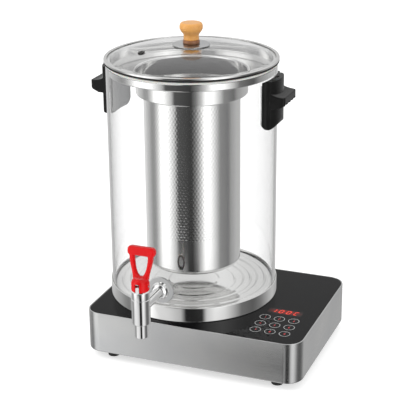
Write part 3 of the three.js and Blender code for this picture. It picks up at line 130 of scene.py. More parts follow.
def filleted(points, bend=5, closed=True):
    # corners given as (x, y, radius) become arcs
    made = []
    last = len(points) - 1
    for i, point in enumerate(points):
        if len(point) < 3 or point[2] == 0 or (not closed and i in (0, last)):
            made.append(tuple(point[:2]))
            continue
        corner = Vector(point[:2])
        toBefore = Vector(points[i - 1][:2]) - corner
        toAfter = Vector(points[(i + 1) % len(points)][:2]) - corner
        half = toBefore.angle(toAfter) / 2
        reach = min(point[2] / math.tan(half), 0.49 * toBefore.length, 0.49 * toAfter.length)
        radius = reach * math.tan(half)
        toBefore.normalize()
        toAfter.normalize()
        centre = corner + (toBefore + toAfter).normalized() * (radius / math.sin(half))
        first = corner + toBefore * reach - centre
        turn = first.angle_signed(corner + toAfter * reach - centre)
        start = math.atan2(first.y, first.x)
        for k in range(bend + 1):
            angle = start - turn * k / bend
            made.append((centre.x + radius * math.cos(angle), centre.y + radius * math.sin(angle)))
    return made


def arcPoints(x, y, radius, start, end, steps=8):
    angles = [math.radians(start + (end - start) * k / steps) for k in range(steps + 1)]
    return [(x + radius * math.cos(a), y + radius * math.sin(a)) for a in angles]


def bezierPoints(a, b, c, d, steps=12):
    # a cubic curve from a to d
    a, b, c, d = (Vector(p) for p in (a, b, c, d))
    made = []
    for k in range(steps + 1):
        t = k / steps
        u = 1 - t
        made.append(tuple(u ** 3 * a + 3 * u * u * t * b + 3 * u * t * t * c + t ** 3 * d))
    return made


def roundedRect(width, depth, radius, bend=8):
    x, y = width / 2, depth / 2
    r = max(radius, 0.01)
    corners = ((x - r, y - r, 0), (r - x, y - r, 90), (r - x, r - y, 180), (x - r, r - y, 270))
    return [p for cx, cy, start in corners for p in arcPoints(cx, cy, r, start, start + 90, bend)]


def stitch(rows, closed):
    # quads, or triangles at a pole, between neighbouring rows of vertex numbers
    faces = []
    following = rows[1:] + rows[:1] if closed else rows[1:]
    for low, high in zip(rows, following):
        for i in range(len(low)):
            j = (i + 1) % len(low)
            face = list(dict.fromkeys((low[i], low[j], high[j], high[i])))
            if len(face) > 2:
                faces.append(face)
    return faces


def lathe(profile, steps=160):
    # a body of revolution from (radius, height) pairs, closed if it starts and ends on the axis
    vertices, rows = [], []
    for radius, height in profile:
        if radius == 0:
            rows.append([len(vertices)] * steps)
            vertices.append((0, 0, height))
            continue
        rows.append(list(range(len(vertices), len(vertices) + steps)))
        for k in range(steps):
            angle = 2 * math.pi * k / steps
            vertices.append((radius * math.cos(angle), radius * math.sin(angle), height))
    onAxis = profile[0][0] == 0 and profile[-1][0] == 0
    return vertices, stitch(rows, not onAxis)


def spun(points, bend, steps, closed=True):
    # a body of revolution whose corners are rounded
    return lathe(filleted(points, bend, closed), steps)


def rod(radius, start, end, steps):
    return lathe([(0, start), (radius, start), (radius, end), (0, end)], steps)


def loft(loops, closed=False):
    # a skin over loops of equally many points; the ends get flat caps unless it closes on itself
    count = len(loops[0])
    vertices = [p for loop in loops for p in loop]
    rows = [list(range(k * count, (k + 1) * count)) for k in range(len(loops))]
    faces = stitch(rows, closed)
    if not closed:
        faces += [rows[0][::-1], rows[-1]]
    return vertices, faces


def prism(outline, bottom, top, bevel=0.0, bend=3):
    # an outline in X and Y drawn up, with its two edges rounded by bevel
    if not bevel:
        return loft([[(x, y, z) for x, y in outline] for z in (bottom, top)])
    middle = Vector((sum(p[0] for p in outline), sum(p[1] for p in outline))) / len(outline)
    loops = []
    for side, level in ((-1, bottom + bevel), (1, top - bevel)):
        turns = range(bend, -1, -1) if side < 0 else range(bend + 1)
        for k in turns:
            angle = math.pi / 2 * k / bend
            inset = bevel * (1 - math.cos(angle))
            z = level + side * bevel * math.sin(angle)
            loop = []
            for x, y in outline:
                away = Vector((x, y)) - middle
                away -= away.normalized() * inset
                loop.append((middle.x + away.x, middle.y + away.y, z))
            loops.append(loop)
    return loft(loops)


def moved(shape, x=0.0, y=0.0, z=0.0):
    return [(p[0] + x, p[1] + y, p[2] + z) for p in shape[0]], shape[1]


def turned(shape, axis, degrees):
    spin = Matrix.Rotation(math.radians(degrees), 3, axis)
    return [tuple(spin @ Vector(p)) for p in shape[0]], shape[1]


def together(*shapes):
    vertices, faces = [], []
    for points, polygons in shapes:
        start = len(vertices)
        vertices += points
        faces += [[i + start for i in polygon] for polygon in polygons]
    return vertices, faces


def toMesh(name, shape):
    mesh = bpy.data.meshes.new(name)
    mesh.from_pydata(shape[0], [], shape[1])
    tidy = bmesh.new()
    tidy.from_mesh(mesh)
    bmesh.ops.recalc_face_normals(tidy, faces=tidy.faces)
    tidy.to_mesh(mesh)
    tidy.free()
    return mesh


def worked(shape, *steps):
    # runs modifiers over a shape; a setting that is itself a shape becomes a scratch object
    made = []
    scratch = addObject("scratch", toMesh("scratch", shape))
    made.append(scratch)
    for kind, settings in steps:
        modifier = scratch.modifiers.new(kind, kind)
        for key, value in settings.items():
            if isinstance(value, tuple) and len(value) == 2:
                value = addObject("tool", toMesh("tool", value))
                value.hide_render = True
                made.append(value)
            setattr(modifier, key, value)
    evaluated = scratch.evaluated_get(bpy.context.evaluated_depsgraph_get())
    mesh = evaluated.to_mesh()
    result = [tuple(v.co) for v in mesh.vertices], [list(f.vertices) for f in mesh.polygons]
    evaluated.to_mesh_clear()
    for item in made:
        data = item.data
        bpy.data.objects.remove(item)
        bpy.data.meshes.remove(data)
    return result


def combined(how, shape, *others):
    steps = [("BOOLEAN", {"operation": how, "solver": "EXACT", "object": other}) for other in others]
    return worked(shape, *steps)


def cut(shape, *tools):
    return combined("DIFFERENCE", shape, *tools)


def fused(shape, *others):
    return combined("UNION", shape, *others)


def shared(shape, other):
    return combined("INTERSECT", shape, other)


def moulded(shape, voxel, passes):
    # one even skin whose edges are rounded as a moulding's are
    return worked(
        shape,
        ("REMESH", {"mode": "VOXEL", "voxel_size": voxel, "adaptivity": 0.0}),
        ("SMOOTH", {"factor": 0.5, "iterations": passes}),
    )


# how the names of pieces start that don't show in mirrored rays, which keeps the bands in the steel clean
unmirrored = (
    "hob", "cooktop", "key", "display", "red_lever", "hinge_pin", "mains", "rubber_foot",
    "handle", "backing", "plate", "shank_nut", "tap_", "wall_",
)


def makePiece(name, shape, body, slot, stoodFor=(), place=None, sharp=35, material=None):
    # puts a shape in the frame: place is where its own zero lies, in millimetres
    mesh = toMesh(name, shape)
    mesh.transform(Matrix.Diagonal((mm, mm, mm, 1)) @ Matrix.Translation(place or zeroOf[body]))
    mesh.polygons.foreach_set("use_smooth", [True] * len(mesh.polygons))
    mesh.set_sharp_from_angle(angle=math.radians(sharp))
    mesh.materials.append(material or finish[slot])
    piece = addObject(name, mesh)
    piece.visible_glossy = not name.startswith(unmirrored)
    # flat walls mirror as flat up to their bevels
    even = piece.modifiers.new("evenNormals", "WEIGHTED_NORMAL")
    even.keep_sharp = True
    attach(piece, body)
    if stoodFor:
        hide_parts(*stoodFor)
    return piece


# what the frame says: the vessel's axis, the glass and the hob, in millimetres

glassLow, glassHigh = boxOf("glass_cylinder")
vesselX, vesselY = middleOf("glass_cylinder")[:2]
glassRadius = radiusOf("glass_cylinder")
hobLow, hobHigh = boxOf("base_housing")
hobX, hobY = middleOf("base_housing")[:2]
hobWidth = hobHigh[0] - hobLow[0]
hobDepth = hobHigh[1] - hobLow[1]
cooktop = hobHigh[2]
tapY, pinLevel = middleOf("lever_pin")[1:]
onVessel = (vesselX, vesselY, 0)
onHob = (hobX, hobY, 0)
onTap = (vesselX, tapY, 0)
# where the pieces of a body have their zero unless a call says otherwise
zeroOf = {
    "base": onHob, "vessel": onVessel, "basket": onVessel, "lid": onVessel,
    "plunger": onTap, "lever": onTap,
}
print(f"frame read: glass {2 * glassRadius:.1f} mm across, hob {hobWidth:.1f} by {hobDepth:.1f}")


# camera: fitted to the photograph, seen from the front right and above

cameraFit = {
    "place": (649.05, -1644.48, 900.2),
    "azimuth": 21.62,
    "elevation": 20.55,
    "roll": -0.55,
    "lens": 115.87,  # on a 36 mm sensor
}


def setCamera():
    fit = cameraFit
    data = bpy.data.cameras.new("view")
    data.sensor_width = 36
    data.lens = fit["lens"]
    data.clip_start = 0.05
    camera = addObject("view", data)
    aim = Matrix.Rotation(math.radians(fit["azimuth"]), 4, "Z")
    aim = aim @ Matrix.Rotation(math.radians(90 - fit["elevation"]), 4, "X")
    aim = aim @ Matrix.Rotation(math.radians(fit["roll"]), 4, "Z")
    camera.matrix_world = Matrix.Translation(Vector(fit["place"]) * mm) @ aim
    bpy.context.scene.camera = camera


setCamera()
print("camera set")


# studio: white sweep, soft plain light, and the panels that polished metal shows

studio = {
    "white": 1.12,          # what the camera and the glass see
    "ambient": 0.9,         # light on matt surfaces
    "panelGain": 1.75,
    "overhead": 0.9,        # soft panel above
    "steep": (-23, -25.5),  # elevations in degrees between which the lower panels come in
    "high": (15, 26),       # the upper panels
    "top": (48, 72),        # the soft panel above
    "floorColour": "#d8d8d8",
    "floorGlow": 0.62,
    "floorHalf": 8000,
    "floorDrop": 0.2,       # keeps the floor clear of the feet
    "keyPower": 17,
    "keyPlace": (-1500, -1300, 2100),
    "keyAim": (0, 0, 200),
    "keyWidth": 1300,
}
# brightness round the urn for metal, by azimuth from the front towards the right
panels = (
    (-180, 0.32), (-140, 0.4), (-128, 0.44), (-116, 0.33), (-104, 0.27), (-90, 0.15), (-80, 0.19),
    (-68, 0.48), (-58, 0.93), (-40, 0.9), (-30, 0.62), (-20, 0.34), (-14, 0.06), (20, 0.03), (30, 0.14),
    (40, 0.38), (52, 0.92), (64, 0.8), (78, 0.4), (90, 0.1), (115, 0.06), (128, 0.19), (150, 0.29),
    (180, 0.32),
)
steepPanels = (
    (-180, 0.18), (-150, 0.2), (-120, 0.27), (-98, 0.22), (-80, 0.12), (-66, 0.36), (-48, 0.52),
    (-30, 0.48), (-14, 0.46), (3, 0.33), (10, 0.01), (33, 0.01), (39, 0.4), (50, 0.52), (64, 0.46),
    (78, 0.26), (90, 0.1), (110, 0.07), (128, 0.12), (148, 0.26), (162, 0.34), (180, 0.2),
)
highPanels = (
    (-180, 0.5), (-140, 0.5), (-104, 0.4), (-82, 0.3), (-60, 0.75), (-34, 0.7), (-18, 0.3), (-12, 0.04),
    (22, 0.04), (30, 0.2), (42, 0.6), (60, 0.9), (84, 0.5), (100, 0.4), (130, 0.45), (180, 0.5),
)


def panelRamp(tree, azimuth, stops):
    # greys along a share of 0 to 1, from stops of (share, level)
    ramp = addNode(tree, "ValToRGB", {"Fac": azimuth})
    elements = ramp.color_ramp.elements
    for k, (place, level) in enumerate(stops):
        element = elements[k] if k < 2 else elements.new(place)
        element.position = place
        element.color = (level, level, level, 1)
    return ramp.outputs["Color"]


def mirroredShare(tree):
    # 1 for rays that have already met metal, which see the panels in place of the white room
    seen = addNode(tree, "LightPath")
    inMetal = addNode(tree, "Math", {
        0: seen.outputs["Glossy Depth"], 1: 0.5,
    }, operation="GREATER_THAN")
    return seen, inMetal


def setWorld():
    world = bpy.data.worlds.new("studio")
    bpy.context.scene.world = world
    world.use_nodes = True
    world.cycles.sampling_method = "NONE"
    tree = world.node_tree
    tree.nodes.clear()
    place = addNode(tree, "TexCoord")
    parts = addNode(tree, "SeparateXYZ", {0: place.outputs["Generated"]})
    # 0 to 1 once round, from the back by the left; 0.5 is the front
    front = addNode(tree, "Math", {0: parts.outputs["Y"], 1: -1.0}, operation="MULTIPLY")
    angle = addNode(tree, "Math", {0: parts.outputs["X"], 1: front}, operation="ARCTAN2")
    share = addNode(tree, "Math", {
        0: angle, 1: 1 / (2 * math.pi), 2: 0.5,
    }, operation="MULTIPLY_ADD")

    def risen(key):
        # 0 up to the ring's first elevation, 1 past its second, smooth between
        low, high = (math.sin(math.radians(v)) for v in studio[key])
        return addNode(tree, "MapRange", {
            "Value": parts.outputs["Z"], "From Min": low, "From Max": high,
        }, interpolation_type="SMOOTHSTEP").outputs["Result"]

    def ring(stops):
        return panelRamp(tree, share, [((azimuth + 180) / 360, level) for azimuth, level in stops])

    level = layered(
        tree, ring(panels), (risen("steep"), ring(steepPanels)), (risen("high"), ring(highPanels)),
        (risen("top"), grey(studio["overhead"] / studio["panelGain"])),
    )
    seen, inMetal = mirroredShare(tree)
    onMatt = addNode(tree, "Math", {
        0: seen.outputs["Diffuse Depth"], 1: 0.5,
    }, operation="GREATER_THAN")
    gained = addNode(tree, "VectorMath", {0: level, "Scale": studio["panelGain"]}, operation="SCALE")
    colour = layered(
        tree, grey(studio["white"]),
        (onMatt, grey(studio["ambient"])), (inMetal, gained),
    )
    background = addNode(tree, "Background", {"Color": colour, "Strength": 1.0})
    addNode(tree, "OutputWorld", {"Surface": background})


def addStage(name, corners, material):
    # a flat sheet of the studio, from its corners in millimetres
    mesh = bpy.data.meshes.new(name)
    mesh.from_pydata([[v * mm for v in corner] for corner in corners], [], [(0, 1, 2, 3)])
    mesh.materials.append(material)
    sheet = addObject(name, mesh)
    return sheet


card = {
    "level": -150,        # under the floor, which mirrored rays pass
    "near": (-395, 120),  # its ends on the side away from the hob
    "far": (-330, 155),
    "nearY": -510,
    "farY": -345,
    "shades": ((0, 1.3), (0.28, 0.86), (0.52, 0.52), (0.74, 0.24), (1, 0.1)),
}


def setCard():
    # a sheet that falls from white to grey from left to right, which only the hob's front shows
    material, tree = startMaterial("shadedCard")
    place = addNode(tree, "TexCoord").outputs["UV"]
    parts = addNode(tree, "SeparateXYZ", {0: place})
    shades = panelRamp(tree, parts.outputs["X"], card["shades"])
    light = addNode(tree, "Emission", {"Color": shades, "Strength": 1.0})
    endMaterial(tree, light)
    material.cycles.emission_sampling = "NONE"
    (nearLeft, nearRight), (farLeft, farRight) = card["near"], card["far"]
    sheet = addStage("card", [
        (nearLeft, card["nearY"], card["level"]), (nearRight, card["nearY"], card["level"]),
        (farRight, card["farY"], card["level"]), (farLeft, card["farY"], card["level"]),
    ], material)
    across = sheet.data.uv_layers.new(name="across")
    for k, u in enumerate((0, 1, 1, 0)):
        across.data[k].uv = (u, 0)
    for kind in ("camera", "diffuse", "transmission", "volume_scatter", "shadow"):
        setattr(sheet, f"visible_{kind}", False)


def setFloor():
    # matt white sweep that takes the urn's soft shadow; metal looks past it at the panels
    material, tree = startMaterial("sweepPaper")
    matt = addNode(tree, "BsdfDiffuse", {"Color": studio["floorColour"]})
    glow = addNode(tree, "Emission", {"Color": (1, 1, 1, 1), "Strength": studio["floorGlow"]})
    lit = addNode(tree, "AddShader", {0: matt, 1: glow})
    seen, inMetal = mirroredShare(tree)
    clear = addNode(tree, "BsdfTransparent")
    surface = addNode(tree, "MixShader", {0: inMetal, 1: lit, 2: clear})
    endMaterial(tree, surface)
    material.cycles.emission_sampling = "NONE"
    half = studio["floorHalf"]
    corners = [(-half, -half, 0), (half, -half, 0), (half, half, 0), (-half, half, 0)]
    floor = addStage("sweep", corners, material)
    floor.location.z = -studio["floorDrop"] * mm


def setLamp():
    data = bpy.data.lights.new("keyPanel", "AREA")
    data.energy = studio["keyPower"]
    data.size = studio["keyWidth"] * mm
    lamp = addObject("keyPanel", data)
    lamp.location = Vector(studio["keyPlace"]) * mm
    aim = Vector(studio["keyAim"]) * mm - lamp.location
    lamp.rotation_euler = aim.to_track_quat("-Z", "Y").to_euler()
    for kind in ("camera", "glossy", "transmission"):
        setattr(lamp, f"visible_{kind}", False)


setWorld()
setFloor()
setCard()
setLamp()
bpy.context.scene.view_settings.view_transform = "Standard"
print("studio lit")


# finishes

def grainOf(tree, size, detail, stretch=(1, 1, 1)):
    # a cloudy pattern of that size in millimetres; a small stretch draws it out along an axis
    place = addNode(tree, "TexCoord").outputs["Object"]
    local = addNode(tree, "Mapping", {"Vector": place, "Scale": stretch})
    return addNode(tree, "TexNoise", {
        "Vector": local, "Scale": perMetre(size), "Detail": detail, "Roughness": 0.55,
    }).outputs["Fac"]


def coilTurns(tree):
    # one ring for each turn of the wire, round the vessel's axis
    place = addNode(tree, "TexCoord").outputs["Object"]
    local = addNode(tree, "Mapping", {
        "Vector": place, "Location": (-vesselX * mm, -vesselY * mm, 0),
    })
    parts = addNode(tree, "SeparateXYZ", {0: local})
    flat = addNode(tree, "CombineXYZ", {0: parts.outputs["X"], 1: parts.outputs["Y"]})
    return addNode(tree, "TexWave", {
        "Vector": flat, "Scale": perMetre(wireSpacing) / 20, "Distortion": 0.4,
    }, wave_type="RINGS", rings_direction="Z").outputs["Fac"]


def growthLines(tree):
    # lines along the knob, bent a little by a slow cloud
    warp = grainOf(tree, 14, 2, (1, 1, 0.3))
    place = addNode(tree, "TexCoord").outputs["Object"]
    bent = addNode(tree, "VectorMath", {0: place, 1: warp}, operation="ADD")
    squeezed = addNode(tree, "Mapping", {
        "Vector": bent, "Rotation": (0.12, 0.2, 0.5), "Scale": (1, 0.35, 0.06),
    })
    return addNode(tree, "TexNoise", {
        "Vector": squeezed, "Scale": perMetre(1.4), "Detail": 3, "Roughness": 0.55,
    }).outputs["Fac"]


def windowGlow(tree):
    # 1 in the middle of the display, 0 towards its sides
    low, high = boxOf("display_module")
    place = addNode(tree, "TexCoord").outputs["Object"]
    local = addNode(tree, "Mapping", {
        "Vector": place, "Location": [-v * mm for v in middleOf("display_module")],
    })
    squeezed = addNode(tree, "Mapping", {
        "Vector": local, "Scale": (2 / (high[0] - low[0]) / mm, 2 / (high[1] - low[1]) / mm, 0),
    })
    away = addNode(tree, "VectorMath", {0: squeezed}, operation="LENGTH")
    return addNode(tree, "MapRange", {
        "Value": away.outputs["Value"],
        "From Min": 0.35, "From Max": 1.12, "To Min": 1.0, "To Max": 0.0,
    }, interpolation_type="SMOOTHSTEP").outputs["Result"]


def makeFinish(name, recipe):
    # patterns: grain settings or a function; roughness: a value or (pattern, low, high);
    # colours: a base and layers of (pattern, colour, share, from, to);
    # bump: (pattern, depth in millimetres, strength)
    material, tree = startMaterial(name)
    patterns = {}
    for key, made in recipe.get("patterns", {}).items():
        patterns[key] = made(tree) if callable(made) else grainOf(tree, *made)

    def ranged(key, low, high, fromLow=0.3, fromHigh=0.7):
        return addNode(tree, "MapRange", {
            "Value": patterns[key],
            "From Min": fromLow, "From Max": fromHigh, "To Min": low, "To Max": high,
        }).outputs["Result"]

    inputs = dict(recipe.get("sockets", {}))
    base, *layers = recipe["colours"]
    painted = [(ranged(key, 0, share, *span), shade) for key, shade, share, *span in layers]
    inputs[recipe.get("paints", "Base Color")] = layered(tree, base, *painted)
    rough = recipe["roughness"]
    inputs["Roughness"] = ranged(*rough) if isinstance(rough, tuple) else rough
    if "bump" in recipe:
        key, depth, strength = recipe["bump"]
        inputs["Normal"] = addNode(tree, "Bump", {
            "Height": patterns[key], "Strength": strength, "Distance": depth * mm,
        }).outputs["Normal"]
    shader = addNode(tree, "BsdfPrincipled", inputs)
    endMaterial(tree, shader)
    if "paints" in recipe:
        material.cycles.emission_sampling = "NONE"
    return material


def clearGlass():
    # drawn borosilicate tube: colourless, bright at its rims, and it lets lamps and mirrored rays through
    material, tree = startMaterial("borosilicateGlass")
    solid = addNode(tree, "BsdfPrincipled", {
        "Base Color": "#fbfbfb", "Roughness": 0.0, "IOR": 1.47, "Transmission Weight": 1.0,
        "Specular IOR Level": 0.25,
    })
    clear = addNode(tree, "BsdfTransparent", {"Color": (1, 1, 1, 1)})
    seen, inMetal = mirroredShare(tree)
    through = addNode(tree, "Math", {
        0: seen.outputs["Is Shadow Ray"], 1: inMetal,
    }, operation="MAXIMUM")
    surface = addNode(tree, "MixShader", {
        0: through, 1: solid, 2: clear,
    })
    endMaterial(tree, surface)
    return material


def solderMask():
    # FR-4 board: green solder mask over copper tracks, 1.5 mm wide
    material, tree = startMaterial("greenSolderMask")
    place = addNode(tree, "TexCoord").outputs["Object"]
    tracks = addNode(tree, "TexBrick", {
        "Vector": place, "Scale": perMetre(12) / 2,
        "Color1": "#1c6a3c", "Color2": "#238048", "Mortar": "#2f9a58", "Mortar Size": 0.03,
    })
    raised = addNode(tree, "Bump", {
        "Height": tracks.outputs["Fac"], "Strength": 0.5, "Distance": 0.05 * mm,
    })
    shader = addNode(tree, "BsdfPrincipled", {
        "Base Color": tracks.outputs["Color"], "Roughness": 0.32, "IOR": 1.5,
        "Normal": raised.outputs["Normal"],
    })
    endMaterial(tree, shader)
    return material


wireSpacing = 2.4
metal = {"Metallic": 1.0}
zinc = {"patterns": {"frost": (0.7, 2)}, "roughness": ("frost", 0.24, 0.38), "sockets": metal}
finish = {
    # 430 sheet brushed along its length: broad soft reflections with a fine lengthwise grain.
    # Real grain is about 0.15 mm; it is drawn at 1.1 mm so that it shows.
    "brushed_steel": makeFinish("brushedStainless", {
        "patterns": {"grain": (1.1, 4, (0.012, 0.012, 1)), "cloud": (90, 2)},
        "colours": ("#c3c4c5", ("cloud", "#cdcdcc", 1)),
        "roughness": ("grain", 0.19, 0.26),
        "bump": ("grain", 0.02, 0.2),
        "sockets": metal,
    }),
    # 304 spun and buffed: near mirror, with faint rings left by the wheel, drawn 1.6 mm apart
    "polished_steel": makeFinish("polishedStainless", {
        "patterns": {"smear": (45, 3), "rings": (1.6, 2, (0.02, 0.02, 1))},
        "colours": ("#e8e8e7",),
        "roughness": ("smear", 0.05, 0.09),
        "bump": ("rings", 0.003, 0.15),
        "sockets": metal,
    }),
    # bright zinc on screws and pins: satin grey with a fine frosted grain
    "screw_steel": makeFinish("brightZinc", {**zinc, "colours": ("#c2c3c5",)}),
    # chrome on turned brass: mirror-bright, with a faint haze that comes and goes
    "chrome": makeFinish("chromePlatedBrass", {
        "patterns": {"haze": (14, 2)},
        "colours": ("#f2f2f2",),
        "roughness": ("haze", 0.04, 0.08),
        "sockets": metal,
    }),
    # extruded and clear-anodised: pale satin with lines along the extrusion, drawn 1 mm apart
    "aluminium": makeFinish("anodisedAluminium", {
        "patterns": {"lines": (1.0, 2, (0.05, 1, 1))},
        "colours": ("#c9cbcd",),
        "roughness": ("lines", 0.34, 0.48),
        "sockets": metal,
    }),
    # wound litz wire under lacquer: warm copper in rings, one for each turn
    "copper": makeFinish("enamelledCopper", {
        "patterns": {"turns": coilTurns},
        "colours": ("#7a3f1c", ("turns", "#c8793c", 1, 0, 1)),
        "roughness": 0.35,
        "bump": ("turns", 0.4, 0.5),
        "sockets": {"Metallic": 1.0, "Coat Weight": 0.5},
    }),
    # black ceramic cooktop glass: deep black with weak clean reflections
    "black_glass": makeFinish("blackGlassCeramic", {
        "patterns": {"haze": (60, 3)},
        "colours": ("#101011",),
        "roughness": ("haze", 0.05, 0.085),
        "sockets": {"IOR": 1.5, "Specular IOR Level": 0.07},
    }),
    "clear_glass": clearGlass(),
    # EPDM: dead matt black with a slightly dusty skin
    "black_rubber": makeFinish("mouldedEpdm", {
        "patterns": {"dust": (3, 4)},
        "colours": ("#151515", ("dust", "#222222", 1)),
        "roughness": ("dust", 0.6, 0.8),
        "bump": ("dust", 0.03, 0.3),
        "sockets": {"IOR": 1.5},
    }),
    # food-grade silicone: milky light grey, satin, a little light goes in
    "grey_silicone": makeFinish("foodGradeSilicone", {
        "patterns": {"cloud": (6, 2)},
        "colours": ("#cfcfcb", ("cloud", "#dcdcd8", 1)),
        "roughness": ("cloud", 0.4, 0.5),
        "sockets": {"IOR": 1.41, "Subsurface Weight": 0.2, "Subsurface Scale": 0.002},
    }),
    # glass-filled nylon handles: charcoal with a spark-eroded grain, real 0.1 mm, drawn at 0.9 mm
    "black_plastic": makeFinish("glassFilledNylon", {
        "patterns": {"grain": (0.9, 3), "wear": (22, 3)},
        "colours": ("#171717", ("wear", "#1f1f1f", 1)),
        "roughness": ("grain", 0.22, 0.3),
        "bump": ("grain", 0.02, 0.25),
        "sockets": {"IOR": 1.53, "Specular IOR Level": 0.1},
    }),
    # red ABS lever: injection moulded in a polished tool, saturated, with a very slight orange peel
    "red_plastic": makeFinish("redAbs", {
        "patterns": {"peel": (2.2, 1), "depth": (16, 2)},
        "colours": ("#cd0004", ("depth", "#da0208", 1)),
        "roughness": 0.2,
        "bump": ("peel", 0.015, 0.3),
        "sockets": {"IOR": 1.54, "Specular IOR Level": 0.3},
    }),
    # phenolic knob collar: red-brown, compression moulded, faintly mottled
    "red_brown_plastic": makeFinish("redBrownBakelite", {
        "patterns": {"mottle": (2.5, 4)},
        "colours": ("#8a5c3c", ("mottle", "#9c6a46", 1)),
        "roughness": ("mottle", 0.28, 0.38),
        "sockets": {"IOR": 1.6},
    }),
    # turned beech under clear lacquer: honey brown, growth lines 1.4 mm apart, short dark flecks
    "wood": makeFinish("lacqueredBeech", {
        "patterns": {"lines": growthLines, "flecks": (0.8, 1, (1, 1, 0.2))},
        "colours": ("#e2954a", ("lines", "#fac06c", 1), ("flecks", "#b87538", 0.5, 0.66, 0.74)),
        "roughness": 0.5,
        "bump": ("lines", 0.03, 0.2),
        "sockets": {"IOR": 1.5, "Specular IOR Level": 0.3, "Coat Weight": 0.55, "Coat Roughness": 0.16},
    }),
    # pressed and fired ferrite: dark grey, dry, with fine pores
    "ferrite": makeFinish("sinteredFerrite", {
        "patterns": {"pores": (1.2, 4)},
        "colours": ("#323234", ("pores", "#47474a", 1)),
        "roughness": 0.75,
        "bump": ("pores", 0.05, 0.5),
    }),
    "circuit_board": solderMask(),
    # smoked red display lens in front of the digits
    "red_display": makeFinish("smokedRedLens", {
        "patterns": {"haze": (4, 2)},
        "colours": ("#3a0606", ("haze", "#4a0a08", 1)),
        "roughness": 0.2,
        "sockets": {"IOR": 1.49},
    }),
}
# finishes of single pieces, beside those of their slots
extra = {
    # 304 deep-drawn basket, buffed less: softer edges in its reflections and a faint mottle
    "satin": makeFinish("satinStainless", {
        "patterns": {"mottle": (26, 4, (1, 1, 0.45))},
        "colours": ("#e8e8e7",),
        "roughness": ("mottle", 0.075, 0.12),
        "bump": ("mottle", 0.3, 0.08),
        "sockets": metal,
    }),
    # black zinc on the rod and the vent, as the screws but dark. On the plunger rod this dark colour is
    # painted shade, for the shadow inside the lever's slot; on the vent eyelet it only makes the eyelet
    # dark grey
    "darkZincAndShade": makeFinish("darkZincAndPaintedShade", {**zinc, "colours": ("#3c3a38",)}),
    # screen-printed ceramic ink, fired on: light grey, slightly uneven
    "ink": makeFinish("firedGreyInk", {
        "patterns": {"edge": (1.5, 3)},
        "colours": ("#b4b5b5", ("edge", "#d4d5d5", 1)),
        "roughness": 0.45,
    }),
    # lit key figures seen through the glass: dim red
    "litKeys": makeFinish("keyFigureRed", {
        "patterns": {"glow": (2, 1)},
        "colours": ("#c0202c", ("glow", "#e03a44", 1)),
        "paints": "Emission Color",
        "roughness": 0.4,
        "sockets": {"Base Color": "#500808", "Emission Strength": 0.8},
    }),
    # LED segments: bright red that leans to orange in the middle of a bar
    "litDigits": makeFinish("ledRed", {
        "patterns": {"glow": (5, 1)},
        "colours": ("#ff2410", ("glow", "#ff4a22", 1)),
        "paints": "Emission Color",
        "roughness": 0.5,
        "sockets": {"Base Color": "#400000", "Emission Strength": 1.0},
    }),
    # light of the digits spread in the glass round them, fading to the sides of the window
    "litWindow": makeFinish("ledHalo", {
        "patterns": {"fade": windowGlow},
        "colours": ("#1b0504", ("fade", "#7c0d08", 1, 0, 1)),
        "paints": "Emission Color",
        "roughness": 0.08,
        "sockets": {"Base Color": "#0c0606", "Specular IOR Level": 0.14, "Emission Strength": 0.8},
    }),
}
print("finishes made:", len(finish) + len(extra))

# the CAD nodes that stay in sight or inside keep their shape and get their slot's finish
for part in frame["record"]["subparts"]:
    node = nodes[part["node"]]
    node.data.materials.clear()
    node.data.materials.append(finish[part["material_slot"]])
    node.visible_glossy = part["node"] not in frame["record"]["behaviour"]["bodies"]["base"]


# hob

hob = {
    "cornerRadius": 25,
    "wall": 1.6,
    "topRound": 0.7,
    "footRound": 2.4,
    "ledgeWidth": 9,
    "ledgeDrop": 4.8,       # top of the wall down to the shelf
    "ledgeThickness": 1.6,
    "lipWidthX": 14,
    "lipBottom": 1.6,
    "lipTop": 3.2,
    "ventCount": 12,
    "ventWidth": 3.2,
    "ventPitch": 8.5,
    "ventHeight": 26,
    "ventBottom": 16,
    "ventMiddle": -84,
    "inletGap": 0.3,
}


def hobLoop(inset, height):
    outline = roundedRect(hobWidth - 2 * inset, hobDepth - 2 * inset, hob["cornerRadius"] - inset, 16)
    return [(x, y, height) for x, y in outline]


def makeHobShell():
    foot, top = hobLow[2], hobHigh[2]
    ledge = top - hob["ledgeDrop"]
    profile = filleted([
        (0, foot, hob["footRound"]),
        (0, top, hob["topRound"]),
        (hob["wall"], top, 0.3),
        (hob["wall"], ledge),
        (hob["wall"] + hob["ledgeWidth"], ledge, 0.5),
        (hob["wall"] + hob["ledgeWidth"], ledge - hob["ledgeThickness"], 0.5),
        (hob["wall"], ledge - hob["ledgeThickness"]),
        (hob["wall"], foot + hob["lipTop"]),
        (hob["lipWidthX"], foot + hob["lipTop"]),
        (hob["lipWidthX"], foot + hob["lipBottom"]),
        (hob["footRound"] + hob["wall"], foot + hob["lipBottom"]),
        (hob["footRound"] + hob["wall"], foot),
    ], 4)
    shell = loft([hobLoop(inset, height) for inset, height in profile], closed=True)
    slot = roundedRect(hob["ventWidth"], hob["ventHeight"], hob["ventWidth"] / 2, 6)
    vents = []
    for k in range(hob["ventCount"]):
        x = hob["ventMiddle"] + (k - (hob["ventCount"] - 1) / 2) * hob["ventPitch"]
        vent = turned(prism(slot, -6, 6), "X", 90)
        vents.append(moved(vent, x, hobDepth / 2, foot + hob["ventBottom"] + hob["ventHeight"] / 2))
    x, _, z = middleOf("power_inlet")
    sleeve = inlet["sleeveWidth"] + 2 * hob["inletGap"], inlet["sleeveHeight"] + 2 * hob["inletGap"]
    hole = turned(prism(roundedRect(*sleeve, inlet["corner"]), -6, 6), "X", 90)
    hole = moved(hole, x - hobX, hobDepth / 2, z)
    shell = cut(shell, together(*vents), hole)
    makePiece("hob_shell", shell, "base", "brushed_steel", ["base_housing"])


